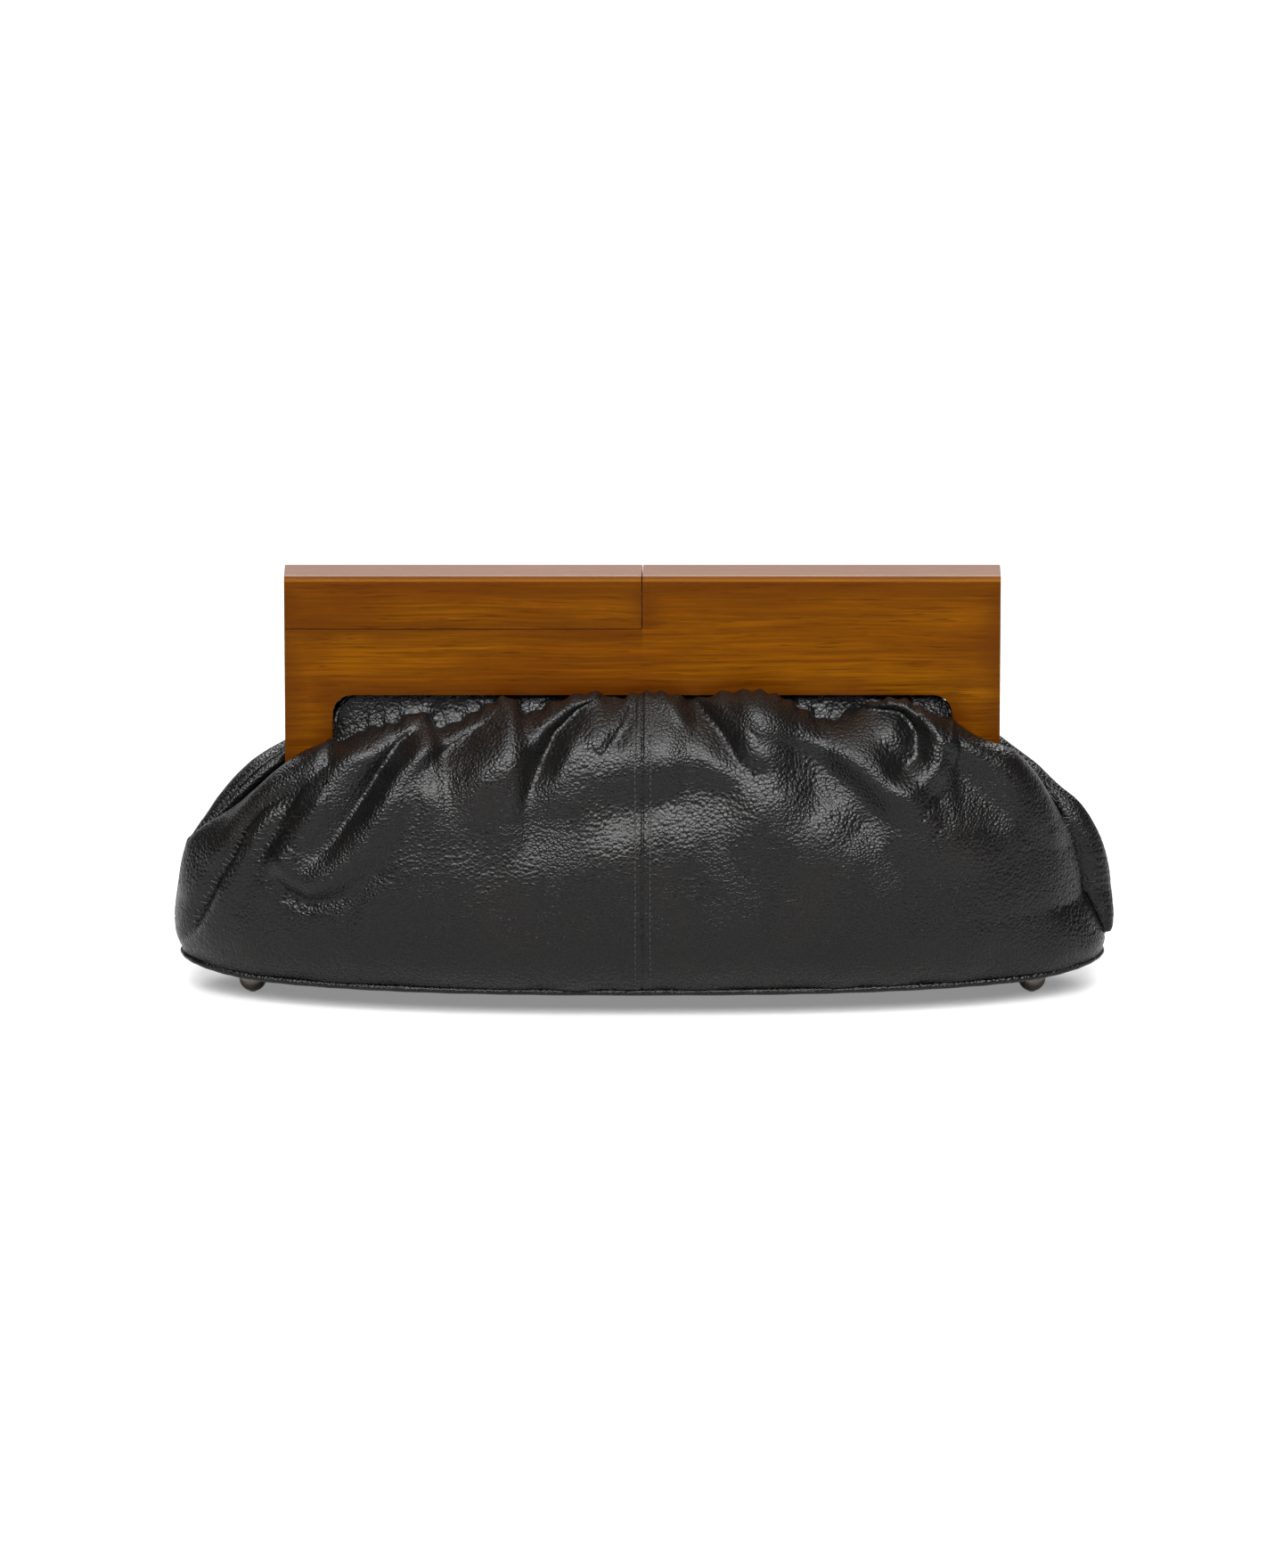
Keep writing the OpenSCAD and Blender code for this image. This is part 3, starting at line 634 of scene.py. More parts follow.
def base_surface(a, left, right, ends):
    """One smooth side of the body: points (columns, rows, 3) from the welt to the clamped edge."""
    edge = edge_of(a, left, right)
    crest, hem = crest_of(a, edge)
    grid = []
    for z in np.linspace(PANEL_Z, BELLY_Z, LOWER_ROWS, endpoint=False):
        rise = tip_rise(a * BASE_X) * (1 - (z - PANEL_Z) / (BELLY_Z - PANEL_Z))
        x, depth = level_row(a, z, ends)
        grid.append(np.stack([x, -np.maximum(depth, SKIN_Y), z + rise], 1))
    belly_x, belly = level_row(a, BELLY_Z, ends)
    far = smooth((np.abs(a) - 0.7) / 0.2)
    hold = smooth((np.abs(a) - 0.985) / 0.015)
    for t in np.linspace(0, math.pi / 2, UPPER_ROWS, endpoint=False):
        # Over the body the rows close in on the crest early, and at the ends late
        middle = smooth(t / (math.pi / 2)) * 0.55 + t / (math.pi / 2) * 0.45
        draw = middle * (1 - far) + (1 - math.cos(t) ** 1.1) * far
        z = BELLY_Z + (crest[:, 2] - BELLY_Z) * math.sin(t)
        x = belly_x * (1 - draw) + crest[:, 0] * draw
        for sign, (seam, _) in zip((-1, 1), ends):
            on = (np.sign(a) == sign) & (np.abs(a) > 0.9)
            x = np.where(on, x * (1 - hold) + sign * curve(seam, z)[:, 0] * hold, x)
        depth = crest[:, 1] + (belly - crest[:, 1]) * math.cos(t)
        grid.append(np.stack([x, -np.maximum(depth, SKIN_Y), z], 1))
    grid.extend(turned_in(a, edge, crest, hem))
    return np.stack(grid, 1)


# Folds of the front leather as the photograph shows them, more or less from left to right.
# Each is a form and its line; a point is a pixel column and row, half width and height in mm.
FOLDS = [
    ("ridge", [(404, 812, 6, 2), (384, 836, 9, 5), (340, 870, 10, 4.5), (296, 906, 11, 4),
        (252, 952, 11, 1.5)]),
    ("ridge", [(474, 803, 5, 2.5), (446, 817, 8, 6), (396, 866, 10, 7.5), (364, 905, 11, 7),
        (334, 945, 12, 4), (300, 985, 12, 1)]),
    ("crease", [(392, 838, 5, 1.5), (360, 868, 6, 3), (326, 908, 7, 4), (300, 948, 8, 2)]),
    ("crease", [(484, 806, 5, 4), (450, 834, 8, 9), (424, 868, 9, 10), (404, 898, 9, 8),
        (378, 940, 9, 4), (352, 972, 8, 1.5)]),
    ("ridge", [(548, 803, 5, 3), (508, 817, 8, 5), (476, 834, 10, 6), (450, 862, 11, 6.5),
        (432, 896, 12, 6), (404, 940, 12, 5), (372, 976, 11, 3)]),
    ("crease", [(300, 962, 5, 1.5), (308, 984, 5, 3), (324, 1002, 5, 3.5), (350, 1014, 5, 3),
        (384, 1006, 6, 2), (412, 984, 7, 0.8)]),
    ("ridge", [(318, 972, 9, 2.5), (346, 990, 9, 3), (380, 978, 9, 1.5)]),
    ("crease", [(560, 800, 4, 2), (522, 828, 5, 3.5), (488, 852, 6, 3), (462, 884, 7, 1)]),
    ("ridge", [(668, 784, 4, 3.5), (632, 794, 8, 5.5), (600, 812, 12, 6.5), (574, 846, 15, 6.5),
        (560, 885, 17, 5), (548, 918, 17, 2)]),
    ("ridge", [(530, 860, 16, 3), (490, 900, 18, 3.5), (460, 940, 18, 2.5), (440, 985, 16, 1)]),
    ("crease", [(678, 782, 4, 4), (650, 800, 6, 8), (624, 826, 7, 9.5), (608, 856, 7, 8),
        (596, 886, 8, 4.5), (588, 912, 8, 1.5)]),
    ("ridge", [(702, 786, 3, 2), (692, 808, 5, 3.5), (672, 828, 5, 2)]),
    ("crease", [(712, 784, 3, 2), (706, 806, 4, 2), (690, 830, 4, 1.2)]),
    ("ridge", [(628, 880, 12, 1.5), (650, 850, 16, 2.5), (690, 842, 18, 2.5), (718, 846, 18, 2)]),
    ("ridge", [(728, 840, 18, 2), (770, 834, 16, 3), (806, 852, 12, 3)]),
    ("dip", [(706, 806, 8, 1.5), (736, 802, 9, 2)]),
    ("ridge", [(750, 784, 4, 3), (766, 800, 5, 2.5), (774, 812, 4, 1)]),
    ("crease", [(774, 782, 5, 6), (790, 806, 7, 9), (812, 832, 8, 9), (828, 856, 7, 5.5),
        (846, 872, 7, 2)]),
    ("ridge", [(846, 778, 10, 5), (868, 792, 12, 6.5), (902, 806, 12, 7), (938, 826, 11, 7),
        (972, 858, 10, 6.5), (1004, 892, 9, 5), (1034, 914, 8, 2)]),
    ("ridge", [(842, 806, 14, 4), (856, 850, 15, 3.5), (872, 886, 16, 1.5)]),
    ("dip", [(900, 870, 10, 1.5), (950, 890, 10, 3.5), (972, 925, 11, 4), (996, 950, 10, 1.5)]),
    ("crease", [(950, 782, 3, 2.5), (951, 806, 3, 2.5)]),
    ("crease", [(950, 798, 6, 4), (982, 802, 7, 7), (1010, 806, 7, 8), (1027, 826, 7, 8.5),
        (1029, 850, 7, 7), (1008, 870, 7, 3)]),
    ("dip", [(964, 822, 10, 3), (992, 846, 11, 4)]),
    ("ridge", [(978, 790, 5, 2.5), (1004, 784, 6, 4), (1034, 798, 7, 5.5), (1050, 828, 8, 5.5),
        (1046, 862, 9, 4), (1022, 884, 9, 2)]),
    ("ridge", [(1054, 800, 8, 5), (1086, 824, 11, 6), (1122, 856, 12, 6), (1154, 890, 12, 4.5),
        (1184, 922, 10, 2)]),
    ("dip", [(1080, 880, 12, 2.5), (1110, 915, 13, 2)]),
    ("ridge", [(1026, 940, 13, 2.5), (1080, 944, 14, 2), (1130, 930, 12, 1.5)]),
    ("dip", [(500, 950, 12, 1.5), (590, 945, 14, 3), (660, 935, 13, 2), (735, 905, 11, 2.5),
        (800, 895, 12, 2)]),
    ("ridge", [(752, 922, 6, 0.8), (766, 962, 7, 0.8)]),
    ("crease", [(738, 904, 6, 0.5), (744, 956, 6, 0.6)]),
    ("ridge", [(430, 1012, 13, 1.2), (476, 996, 13, 1.8), (510, 962, 13, 1.5)]),
    ("crease", [(392, 1046, 5, 0.5), (404, 1010, 6, 1.2), (430, 975, 6, 0.8)]),
    ("ridge", [(600, 975, 16, 1.2), (690, 960, 16, 1.2)]),
    ("ridge", [(860, 920, 17, 2.5), (920, 950, 18, 1.8)]),
]

# The left side seam lies on the front of the end, in a crease that the right one lacks
LEFT_SEAM = ("crease", [
    (203, 1056, 3, 1), (217, 1036, 4, 3.4), (229, 1013, 5, 5), (244, 984, 5, 6),
    (260, 962, 5, 6), (277, 930, 5, 5), (300, 908, 4, 3.5), (338, 884, 4, 1)])
LEFT_SEAM_LIP = ("ridge", [
    (236, 1034, 6, 0.6), (252, 1000, 7, 2.4), (276, 962, 7, 3), (300, 926, 6, 2),
    (334, 896, 5, 0.5)])
RIGHT_TACK = [(1192, 926), (1205, 948)]

# Over this height folds turn from standing out of the skin to standing out to the front
LEVEL_FROM, LEVEL_OVER = 92, 26
PLEAT_H, PLEAT_TURNS = 0.8, 0.85
SEAM_GROOVE, SEAM_GROOVE_W = 0.5, 0.55
STITCH_GROOVE, STITCH_OFFSET = 0.18, 2.9


def fold_height(form, line, x, v):
    """Height of one fold at points of the picture plane, in mm."""
    best = np.full(x.shape, 1e9)
    wide = np.ones(x.shape)
    high = np.zeros(x.shape)
    spots = [(photo_x(px), photo_v(py), w, h) for px, py, w, h in line]
    for (x0, v0, w0, h0), (x1, v1, w1, h1) in zip(spots, spots[1:]):
        dx, dv = x1 - x0, v1 - v0
        t = unit(((x - x0) * dx + (v - v0) * dv) / (dx * dx + dv * dv))
        d = np.hypot(x - x0 - t * dx, v - v0 - t * dv)
        near = d < best
        best = np.where(near, d, best)
        wide = np.where(near, w0 + (w1 - w0) * t, wide)
        high = np.where(near, h0 + (h1 - h0) * t, high)
    d = best / wide
    if form == "ridge":
        return high * unit(1 - (d / 1.3) ** 2) ** 2
    if form == "dip":
        return -high * np.exp(-d * d)
    return -high * unit(1 - np.sqrt(d * d + 0.01) / 1.4) ** 1.8


def folds_at(points, folds):
    x = points[..., 0]
    v = LOOK_COS * points[..., 2] + LOOK_SIN * points[..., 1]
    total = np.zeros(x.shape)
    for form, line in folds:
        total += fold_height(form, line, x, v)
    return total


def soft_noise(points, size, seed):
    """Smooth waves of about a given size, from a few seeded sines."""
    rng = np.random.default_rng(seed)
    total = np.zeros(points.shape[:-1])
    for _ in range(7):
        direction = rng.normal(size=3)
        direction *= 2 * math.pi / size / np.linalg.norm(direction)
        total += np.sin(points @ direction + rng.uniform(0, 2 * math.pi))
    return total / 7


def side_gathers(a, points, pinched):
    """Small ripples beside the right side seam, which is at a's end of the sign pinched."""
    near = 1 - (a * pinched)[:, None]
    down = points[..., 2]
    reach = unit((down - 18) / 12) * unit((74 - down) / 10)
    return 0.4 * np.sin(down * 2.1) * np.exp(-near / 0.025) * smooth(near / 0.008) * reach


def held_ends(a):
    """1 over the body and 0 at the side seams, where both skins keep to the seam's line."""
    return smooth((1 - np.abs(a)) / 0.02)[:, None]


def dressed_surface(left, right, ends, seed, pinched):
    """The leather of one side with its folds, and the smooth surface under them."""
    a = columns()
    base = base_surface(a, left, right, ends)
    n = normals_of(base)
    fade = np.ones(base.shape[1])
    fade[SKIN_ROWS - 3:] = unit(np.linspace(1, -0.1, base.shape[1] - SKIN_ROWS + 3))
    height = folds_at(base, FOLDS)
    height += 1.0 * soft_noise(base, 46, seed) + 0.5 * soft_noise(base, 19, seed + 1)
    end = unit((np.abs(a) - 0.9) / 0.1)[:, None]
    height = height * (1 - end ** 2) + side_gathers(a, base, pinched)
    if pinched > 0:
        height += folds_at(base, [LEFT_SEAM, LEFT_SEAM_LIP]) * (a < 0)[:, None]
    height *= fade[None, :] * held_ends(a)
    level = smooth((base[..., 2] - LEVEL_FROM) / LEVEL_OVER)[..., None]
    push = n * (1 - level) + np.array([0.0, -1.0, 0.0]) * level
    push /= np.maximum(np.linalg.norm(push, axis=2, keepdims=True), 1e-6)
    out = base + push * height[..., None]
    rows_in = unit((np.arange(base.shape[1]) - SKIN_ROWS + 8) / (TAIL_ROWS + 7))
    x = base[..., 0]
    pleats = PLEAT_H * np.sin(x * PLEAT_TURNS + 1.6 * np.sin(x / 9.0))
    pleats *= np.sin(math.pi * rows_in)[None, :] * smooth((WINDOW_X - 8 - np.abs(x)) / 6)
    out += n * pleats[..., None]
    seam = np.exp(-(x / SEAM_GROOVE_W) ** 2) * SEAM_GROOVE
    stitched = unit(1 - np.abs(np.abs(x) - STITCH_OFFSET) / 0.7) * STITCH_GROOVE
    out -= n * ((seam + stitched) * fade[None, :])[..., None]
    return a, clear_of_frame(out), base, n, height


def clear_of_frame(points):
    """Keeps the skin in front of the board, under its bar and off its legs."""
    x, y, z = points[..., 0], points[..., 1], points[..., 2]
    front = -(BOARD_T + LEATHER_T + WOOD_GAP)
    out = points.copy()
    over_leg = (np.abs(x) > WINDOW_X - 1.6) & (np.abs(x) < FRAME_X + 1.6) & (z > LEG_Z - 4)
    out[..., 1] = np.where(over_leg, np.minimum(y, front), out[..., 1])
    under_bar = (y > front) & (np.abs(x) < WINDOW_X + 2)
    out[..., 2] = np.where(under_bar, np.minimum(z, WINDOW_Z - WOOD_GAP), out[..., 2])
    out[..., 1] = np.minimum(out[..., 1], -SKIN_Y)
    return out


def inside_of(points, n, a):
    """The inner face of the leather, which is pared thin towards the side seams."""
    thin = 0.2 + 0.8 * smooth((1 - np.abs(a)) / 0.04)
    inner = points - n * (LEATHER_T * thin)[:, None, None]
    inner[..., 1] = np.minimum(inner[..., 1], -SKIN_INNER_Y)
    return inner


def turned(points):
    """Half a turn about Z: the rear is built as a front and turned."""
    out = points.copy()
    out[..., :2] *= -1
    return out


def leather_side(name, nodes, left, right, ends, seed, place, pinched):
    a, skin, base, n, height = dressed_surface(left, right, ends, seed, pinched)
    normal = normals_of(skin)
    inner = inside_of(skin, normal, a)
    piece = shell_piece(name, place(skin), place(inner), LEATHER)
    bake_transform(piece)
    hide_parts(*nodes)
    return a, skin, base, n, height, normal


def keep(points):
    return points


front = leather_side("front_leather",
                     ["front_gathers", "front_left_panel", "front_right_panel"],
                     FRONT_LEFT, FRONT_RIGHT,
                     [(SEAM_LEFT, NO_BULGE), (SEAM_RIGHT, NO_BULGE)], 11, keep, 1)
rear = leather_side("rear_leather",
                    ["rear_gathers", "rear_left_panel", "rear_right_panel"],
                    REAR_RIGHT, REAR_LEFT,
                    [(SEAM_RIGHT, BULGE_WRAP), (SEAM_LEFT, NO_BULGE)], 29, turned, -1)


# Stitches: two rows beside the centre seam, a row on the left side seam and a tack at the right

STITCH_PITCH, STITCH_L, STITCH_R = 2.7, 2.0, 0.34
TACK_R = 0.3
SEAM_STITCH_ROWS = SKIN_ROWS - 8


def lengths(line):
    """How far along a line each of its points lies."""
    return np.concatenate([[0], np.cumsum(np.linalg.norm(np.diff(line, axis=0), axis=1))])


def spot_at(line, run, s):
    return np.array([np.interp(s, run, column) for column in line.T])


def capsule(p, q, radius, sides=6):
    """Rings of a small rounded stick from p to q."""
    share = np.array([0.0, 0.12, 0.5, 0.88, 1.0])
    size = np.array([0.35, 0.9, 1.0, 0.9, 0.35]) * radius
    path = p[None] + (q - p)[None] * share[:, None]
    return tube_points(path, size, sides).reshape(-1, 3), ring_faces(len(share), sides, False)


def stitch_piece(name, sticks, radius):
    points, faces = [], []
    for p, q in sticks:
        ring, ring_face = capsule(np.asarray(p), np.asarray(q), radius)
        first = sum(len(x) for x in points)
        points.append(ring)
        faces += [tuple(first + k for k in f) for f in ring_face]
    return mesh_piece(name, np.concatenate(points), faces, THREAD)


def seam_rows(surface, place, name):
    """A row of stitches on each side of the centre seam."""
    _, skin, _, _, _, normal = surface
    sticks = []
    for offset in (-STITCH_OFFSET, STITCH_OFFSET):
        middle = skin[:, LOWER_ROWS, 0]
        column = int(np.argmin(np.abs(middle - offset)))
        line = skin[column, 1:SEAM_STITCH_ROWS]
        out = normal[column, 1:SEAM_STITCH_ROWS]
        run = lengths(line)
        for k in range(int(run[-1] // STITCH_PITCH)):
            sticks.append([place(spot_at(line, run, s) + spot_at(out, run, s) * 0.05)
                           for s in (k * STITCH_PITCH, k * STITCH_PITCH + STITCH_L)])
    piece = stitch_piece(name, sticks, STITCH_R)
    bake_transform(piece)


seam_rows(front, keep, "front_seam_stitches")
seam_rows(rear, turned, "rear_seam_stitches")


PIPING_R, PIPING_IN = 0.95, 0.7


def seam_piping(name, seam, sign):
    """A narrow folded strip that closes the side seam between the two skins."""
    z = np.linspace(seam[0][0] + 1, seam[-1][0] - 1, 60)
    x = sign * (curve(seam, z)[:, 0] - PIPING_IN)
    lift = tip_rise(x) * unit(1 - (z - PANEL_Z) / (BELLY_Z - PANEL_Z))
    path = np.stack([x, np.zeros_like(z), z + lift], 1)
    tube = tube_points(path, PIPING_R, 8)
    piece = mesh_piece(name, tube.reshape(-1, 3), ring_faces(len(path), 8, False), LEATHER)
    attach(piece, "bag")


seam_piping("right_side_seam", SEAM_RIGHT, 1)
seam_piping("left_side_seam", SEAM_LEFT, -1)


def cross_stitches(name, surface, line, pitch, length):
    """Short stitches across a line of the photograph, laid on the skin."""
    _, skin, _, _, _, normal = surface
    points, normals = skin.reshape(-1, 3), normal.reshape(-1, 3)
    seen = (LOOK_SIN * normals[:, 2] - LOOK_COS * normals[:, 1]) > 0.1
    points, normals = points[seen], normals[seen]
    plane = np.stack([points[:, 0], LOOK_COS * points[:, 2] + LOOK_SIN * points[:, 1]], 1)
    route = np.array([(photo_x(px), photo_v(py)) for px, py in line])
    run = lengths(route)
    sticks = []
    for s in np.arange(pitch / 2, run[-1], pitch):
        spot = spot_at(route, run, s)
        ahead = spot_at(route, run, s + 1) - spot
        across = np.array([-ahead[1], ahead[0]]) / np.linalg.norm(ahead)
        ends = []
        for side in (-1, 1):
            goal = spot + across * side * length / 2
            k = int(np.argmin(np.sum((plane - goal) ** 2, axis=1)))
            ends.append(points[k] + normals[k] * 0.15)
        sticks.append(ends)
    piece = stitch_piece(name, sticks, TACK_R)
    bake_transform(piece)


left_seam_line = [(px, py) for px, py, _, _ in LEFT_SEAM[1][1:6]]
cross_stitches("left_seam_stitches", front, left_seam_line, 2.2, 2.6)
cross_stitches("right_seam_tack", front, RIGHT_TACK, 1.8, 2.8)


# The lining, inside the leather and gathered with it


LINING_T, LINING_IN = 0.8, 2.6
LINING_Y, LINING_INNER_Y = 1.2, 0.4
LINING_ROWS = 44
# The leather's rows that it runs from and to, and how many fewer it has by the legs
LINING_FROM, LINING_TO, LINING_DROP = 2, SKIN_ROWS - 8, 22


def neighbours(values, reach, axis):
    """The grid moved by each step up to reach along an axis, with its border repeated."""
    pad = [(reach, reach) if k == axis else (0, 0) for k in (0, 1)]
    wide = np.pad(values, pad, mode="edge")
    size = values.shape[axis]
    return np.stack([np.take(wide, range(k, k + size), axis) for k in range(2 * reach + 1)])


def lowest_near(values, reach):
    return neighbours(neighbours(values, reach, 0).min(0), reach, 1).min(0)


def softened(values, reach):
    return neighbours(neighbours(values, reach, 0).mean(0), reach, 1).mean(0)


def at_rows(grid, rows):
    """A grid's points at a fractional row, one for each column."""
    low = np.clip(rows.astype(int), 0, grid.shape[1] - 2)
    part = (rows - low)[:, None]
    each = np.arange(len(grid))
    return grid[each, low] * (1 - part) + grid[each, low + 1] * part


def lining_side(surface, name, nodes, place):
    """Cloth under the deepest folds near each point, so that no fold cuts through it."""
    a, _, base, n, height, _ = surface
    keep_u = np.r_[6:len(a) - 6:3]
    deep = softened(lowest_near(np.minimum(height, 0), 6), 5)
    lined = (base + n * (deep - LINING_IN)[..., None])[keep_u]
    top = LINING_TO - LINING_DROP * smooth((np.abs(a[keep_u]) - 0.6) / 0.3)
    grid = np.stack([at_rows(lined, LINING_FROM + (top - LINING_FROM) * share)
                     for share in np.linspace(0, 1, LINING_ROWS)], 1)
    grid[..., 1] = np.minimum(grid[..., 1], -LINING_Y)
    normal = normals_of(grid)
    under = grid - normal * LINING_T
    under[..., 1] = np.minimum(under[..., 1], -LINING_INNER_Y)
    piece = shell_piece(name, place(grid), place(under), LINING)
    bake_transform(piece)
    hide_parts(*nodes)


lining_side(front, "front_lining_cloth", ["front_lining"], keep)
lining_side(rear, "rear_lining_cloth", ["rear_lining"], turned)


# The base: welt, leather underside, lining and the slip pocket


WELT_IN, WELT_R = 0.8, 0.45 * WELT_D
CLOTH_IN = 5.0


def plan_line(count, margin):
    """One side of the base's plan as (x, depth), from tip to tip."""
    turn = np.linspace(-math.pi / 2, math.pi / 2, count)
    a = np.sign(turn) * np.abs(np.sin(turn)) ** (2 / BASE_POWER)
    return a * (BASE_X - margin), (BASE_Y - margin) * oval(np.abs(a), BASE_POWER)


def welt():
    x, depth = plan_line(201, WELT_IN)
    x, y = np.r_[x, x[-2:0:-1]], np.r_[-depth, depth[-2:0:-1]]
    path = np.stack([x, y, BASE_Z + WELT_D / 2 + tip_rise(x)], 1)
    tube = tube_points(path, WELT_R + 0.06 * np.sin(np.arange(len(path)) * 0.9), 14, True)
    piece = mesh_piece("welt", tube.reshape(-1, 3), ring_faces(len(path), 14, True), LEATHER)
    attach(piece, "bag")
    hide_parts("base_welt")


def oval_plate(name, z0, thickness, margin, material, nodes):
    """A thin oval plate that follows the raised tips."""
    x, depth = plan_line(121, margin)
    y = depth[:, None] * np.linspace(-1, 1, 25)[None]
    z = z0 + tip_rise(x) + thickness
    top = np.stack([np.broadcast_to(x[:, None], y.shape), y, np.broadcast_to(z[:, None], y.shape)], 2)
    bottom = top - np.array([0, 0, thickness])
    piece = shell_piece(name, top[1:-1], bottom[1:-1], material)
    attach(piece, "bag")
    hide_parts(*nodes)
    return piece


welt()
base_lo, _ = size_of("base_leather")
cloth_lo, cloth_hi = size_of("base_lining")
oval_plate("base_underside", base_lo.z, LEATHER_T, WELT_D / 2, LEATHER, ["base_leather"])
base_cloth = oval_plate("base_cloth", cloth_lo.z, cloth_hi.z - cloth_lo.z, CLOTH_IN, LINING,
                        ["base_lining"])


POCKET_POWER, POCKET_FROM_BELLY = 2.9, 7.4
POCKET_SLACK, POCKET_T = 1.1, 0.9
POCKET_HEM, POCKET_HEM_T = 5, 0.5


def slip_pocket():
    """A pocket on the rear lining, slack at its middle and thicker at its hem."""
    lo, hi = size_of("slip_pocket")
    x = np.linspace(lo.x, hi.x, 61)
    z = np.linspace(lo.z, hi.z, 31)
    grid = np.zeros((len(x), len(z), 3))
    grid[..., 0] = x[:, None]
    grid[..., 2] = z[None]
    edge = np.abs(x / hi.x)[:, None]
    depth = BELLY_Y * (1 - np.abs(x[:, None] / TIP_X) ** POCKET_POWER) - POCKET_FROM_BELLY
    slack = POCKET_SLACK * (1 - edge ** 4) * smooth((z[None] - lo.z) / (hi.z - lo.z))
    grid[..., 1] = -(depth - slack - 0.5 * soft_noise(grid, 30, 5))
    inner = grid.copy()
    inner[..., 1] += POCKET_T + POCKET_HEM_T * (z[None] > hi.z - POCKET_HEM)
    piece = shell_piece("slip_pocket_cloth", turned(grid), turned(inner), LINING)
    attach(piece, "bag")
    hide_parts("slip_pocket")


slip_pocket()


# The wooden boards


def prism(name, outline, axis, start, end):
    """A closed prism of an outline, pushed along an axis: 'y' takes (x, z) and 'x' takes (y, z)."""
    bm = bmesh.new()
    rings = []
    for s in (start, end):
        spots = [(u, s, w) if axis == "y" else (s, u, w) for u, w in outline]
        rings.append([bm.verts.new([c * MM for c in spot]) for spot in spots])
    n = len(outline)
    bm.faces.new(rings[0])
    bm.faces.new(rings[1][::-1])
    for k in range(n):
        bm.faces.new((rings[0][k], rings[1][k], rings[1][(k + 1) % n], rings[0][(k + 1) % n]))
    bmesh.ops.recalc_face_normals(bm, faces=bm.faces)
    mesh = bpy.data.meshes.new(name)
    bm.to_mesh(mesh)
    bm.free()
    return add_object(name, mesh)


def arc(cx, cz, radius, start, end, steps=12):
    angles = np.radians(np.linspace(start, end, steps + 1))
    return [(cx + radius * math.cos(t), cz + radius * math.sin(t)) for t in angles]


def arch(radius):
    """The round upper corners of the window, or of a line outside it, from left to right."""
    x, z = WINDOW_X - WINDOW_R, WINDOW_Z - WINDOW_R
    return arc(-x, z, radius, 180, 90) + arc(x, z, radius, 90, 0)


def modify(piece, kind, **settings):
    """Adds a modifier and applies it."""
    modifier = piece.modifiers.new(kind.lower(), kind)
    for key, value in settings.items():
        setattr(modifier, key, value)
    graph = bpy.context.evaluated_depsgraph_get()
    mesh = bpy.data.meshes.new_from_object(piece.evaluated_get(graph))
    old = piece.data
    piece.modifiers.clear()
    piece.data = mesh
    bpy.data.meshes.remove(old)


def combine(piece, other, operation):
    modify(piece, "BOOLEAN", operation=operation, solver="EXACT", object=other)
    bpy.data.objects.remove(other)


def plain_edges(piece):
    """Merges coplanar faces, so that only real edges are left to round."""
    bm = bmesh.new()
    bm.from_mesh(piece.data)
    bmesh.ops.remove_doubles(bm, verts=bm.verts, dist=0.01 * MM)
    bmesh.ops.dissolve_limit(bm, angle_limit=math.radians(0.5), verts=bm.verts, edges=bm.edges)
    bm.to_mesh(piece.data)
    bm.free()


def board(name, body, node, material, half_turn):
    """A frame half: board with its window, lap block, and the rebate for leather and batten."""
    outline = [(-FRAME_X, LEG_Z), (-WINDOW_X, LEG_Z)] + arch(WINDOW_R)
    # On the right the board runs up into the lap block, and on the left it stops under the other
    outline += [(WINDOW_X, LEG_Z), (FRAME_X, LEG_Z), (FRAME_X, LAP_Z + LAP_H / 2),
                (GAP / 2, LAP_Z + LAP_H / 2), (GAP / 2, LAP_Z - GAP / 2),
                (-FRAME_X, LAP_Z - GAP / 2)]
    plate = prism(name, outline, "y", -BOARD_T, -GAP / 2)
    profile = [(-BOARD_T, LAP_Z + GAP / 2), (BOARD_T, LAP_Z + GAP / 2)]
    profile += arc(BOARD_T - TOP_R, TOP_Z - TOP_R, TOP_R, 0, 90, 8)
    profile += arc(-BOARD_T + TOP_R, TOP_Z - TOP_R, TOP_R, 90, 180, 8)
    combine(plate, prism("lap", profile, "x", GAP / 2, FRAME_X), "UNION")
    rebate = [(-WINDOW_X - REBATE_REACH, LEG_Z - 1), *arch(WINDOW_R + REBATE_REACH),
              (WINDOW_X + REBATE_REACH, LEG_Z - 1)]
    combine(plate, prism("rebate", rebate, "y", -GAP / 2 - REBATE_DEPTH, 1), "DIFFERENCE")
    plain_edges(plate)
    modify(plate, "BEVEL", width=ARRIS * MM, segments=3, limit_method="ANGLE",
           angle_limit=math.radians(ARRIS_ANGLE), miter_outer="MITER_ARC")
    plate.data.shade_smooth()
    modify(plate, "WEIGHTED_NORMAL", keep_sharp=False)
    for vertex in plate.data.vertices:
        # The end of the lap block is slanted, so that nothing shows through the seam
        if abs(vertex.co.x) < 2 * MM and vertex.co.z > (LAP_Z - 1) * MM:
            vertex.co.x += LAP_SLANT * vertex.co.y
        if half_turn:
            vertex.co.xy *= -1
    plate.data.materials.clear()
    plate.data.materials.append(material)
    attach(plate, body)
    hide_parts(node)


board("front_board", "front_half", "front_frame", WOOD_FRONT, False)
board("rear_board", "rear_half", "rear_frame", WOOD_REAR, True)


# Finishes of the CAD nodes that stay


def finish_node(node, material):
    mesh = frame["nodes"][node].data
    mesh.materials.clear()
    mesh.materials.append(material)


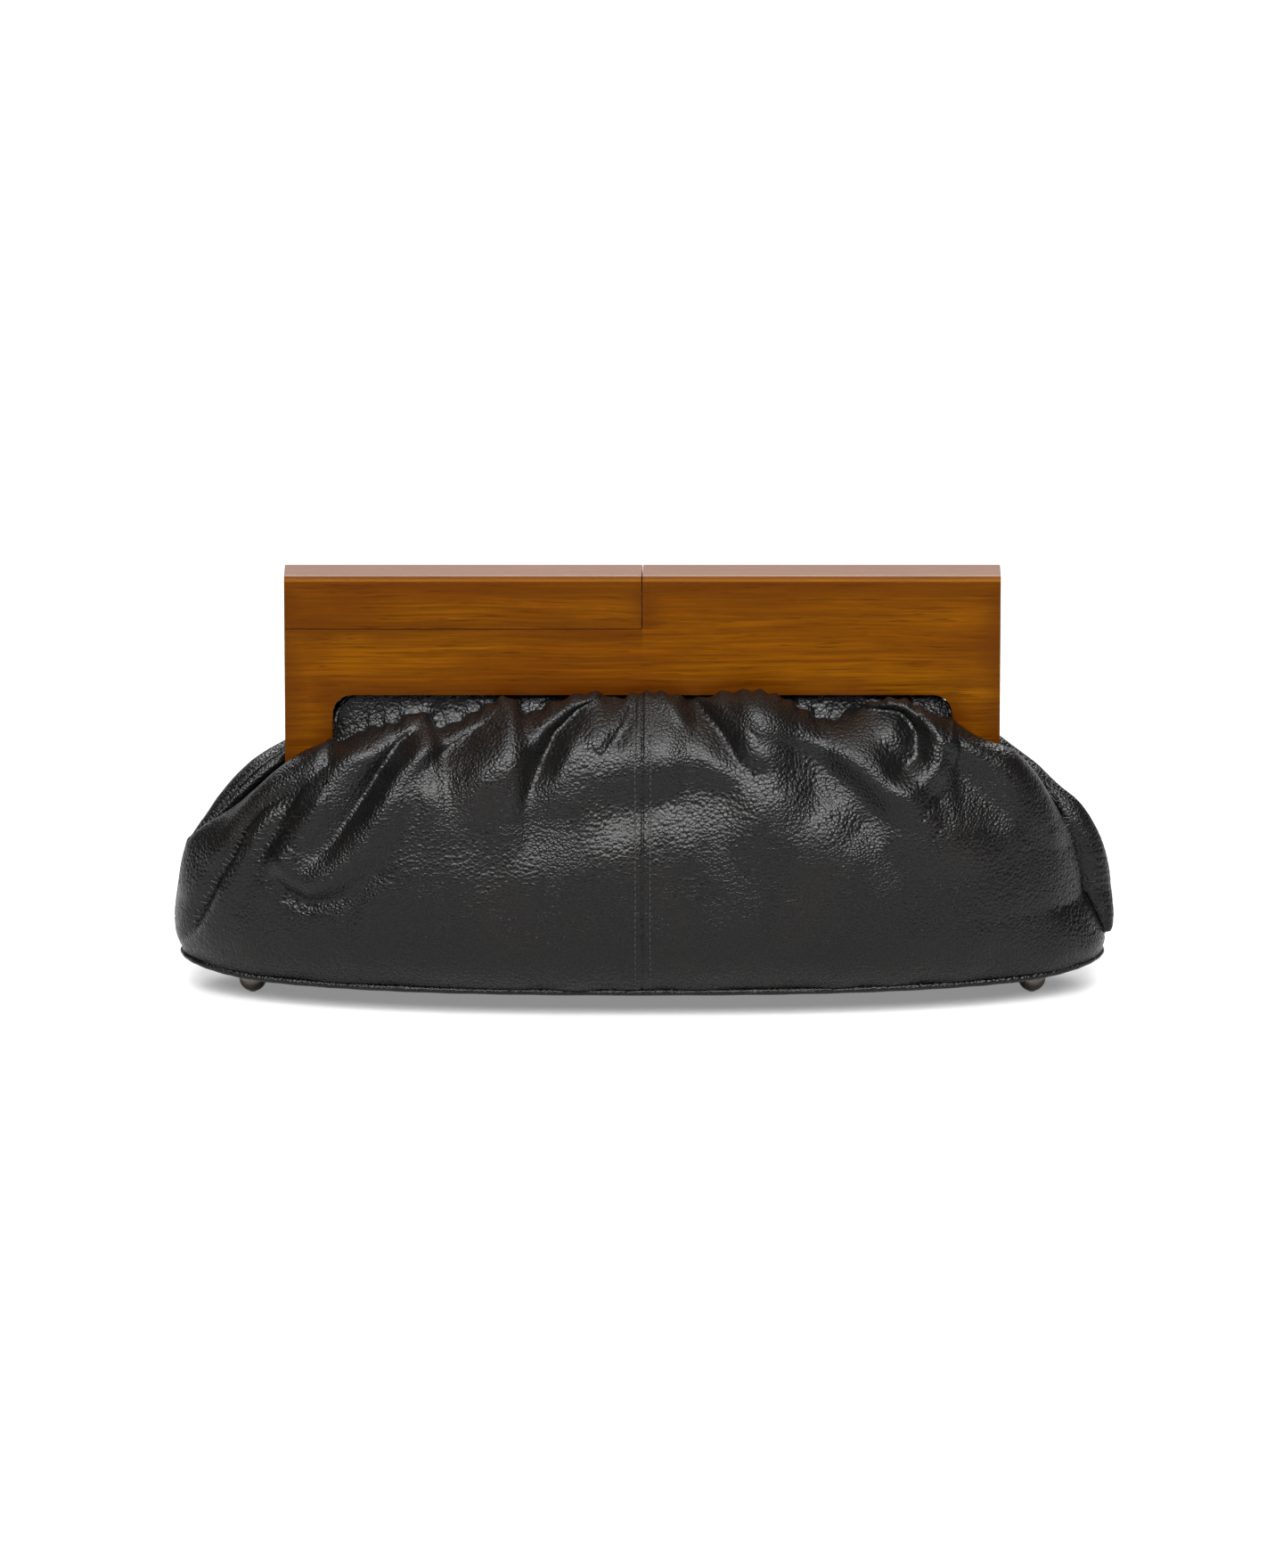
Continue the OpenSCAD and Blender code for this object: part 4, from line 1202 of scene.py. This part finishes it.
for end in ("front", "rear"):
    finish_node(end + "_batten", WOOD_FRONT if end == "front" else WOOD_REAR)
    for node in ("batten_screws", "magnets", "hinge_screws", "left_leaf", "right_leaf"):
        finish_node(f"{end}_{node}", STEEL)
    for node in ("left_foot", "right_foot"):
        finish_node(f"{end}_{node}", NICKEL)
for node in ("left_hinge_pin", "right_hinge_pin", "foot_washers"):
    finish_node(node, STEEL)
finish_node("base_board", FIBREBOARD)


# The floor, lamps and camera


FLOOR_SIZE = 9.0
CAMERA_GLOW, MIRROR_GLOW = 0.26, 0.08


def floor():
    mesh = bpy.data.meshes.new("floor")
    corners = [(x * FLOOR_SIZE, y * FLOOR_SIZE, 0) for x, y in ((-1, -1), (1, -1), (1, 1), (-1, 1))]
    mesh.from_pydata(corners, [], [(0, 1, 2, 3)])
    piece = add_object("floor", mesh)
    n = Nodes("pale_floor")
    rays = n.add("ShaderNodeLightPath")
    mirrored = n.math("MAXIMUM", rays.outputs["Is Glossy Ray"], rays.outputs["Is Transmission Ray"])
    glow = n.plus(n.times(rays.outputs["Is Camera Ray"], CAMERA_GLOW),
                  n.times(mirrored, MIRROR_GLOW))
    grain = n.noise(n.place, 3.0, 2)
    colour = n.mix(n.times(grain, 0.04), (0.40, 0.40, 0.40), (0.38, 0.38, 0.38))
    n.set(Base_Color=colour, Roughness=0.9, Emission_Color=(1, 1, 1, 1), Emission_Strength=glow)
    piece.data.materials.append(n.material)


def lamp(name, place, aim, width, height, watts):
    data = bpy.data.lights.new(name, "AREA")
    data.shape = "RECTANGLE"
    data.size, data.size_y = width, height
    data.energy = watts
    light = add_object(name, data)
    light.location = place
    light.rotation_euler = (Vector(aim) - Vector(place)).to_track_quat("-Z", "Y").to_euler()


def world():
    made = bpy.data.worlds.new("studio")
    made.use_nodes = True
    background = made.node_tree.nodes["Background"]
    background.inputs["Color"].default_value = (0.9, 0.95, 1.0, 1)
    background.inputs["Strength"].default_value = 0.02
    bpy.context.scene.world = made


def camera():
    data = bpy.data.cameras.new("camera")
    data.sensor_width = 36.0
    data.lens = data.sensor_width * CAMERA_DISTANCE / (PHOTO_H * MM_PER_PIXEL * MM)
    data.clip_end = 100
    eye = add_object("camera", data)
    middle_v = photo_v(PHOTO_H / 2)
    aim = Vector((photo_x(PHOTO_W / 2), 0, middle_v / LOOK_COS)) * MM
    back = Vector((0, -LOOK_COS, LOOK_SIN))
    eye.location = aim + back * CAMERA_DISTANCE
    eye.rotation_euler = (-back).to_track_quat("-Z", "Y").to_euler()
    bpy.context.scene.camera = eye


floor()
world()
for side, name in ((-1, "left"), (1, "right")):
    lamp(name, (side * 0.50, -1.12, 1.30), (0, 0, 0.08), 0.9, 1.05, 46)
lamp("overhead", (0, -0.1, 1.7), (0, 0, 0.1), 1.2, 0.6, 14)
lamp("background", (0, 3.2, 2.6), (0, 2.2, 0), 4.5, 2.4, 330)
camera()
bpy.context.scene.view_settings.view_transform = "Standard"
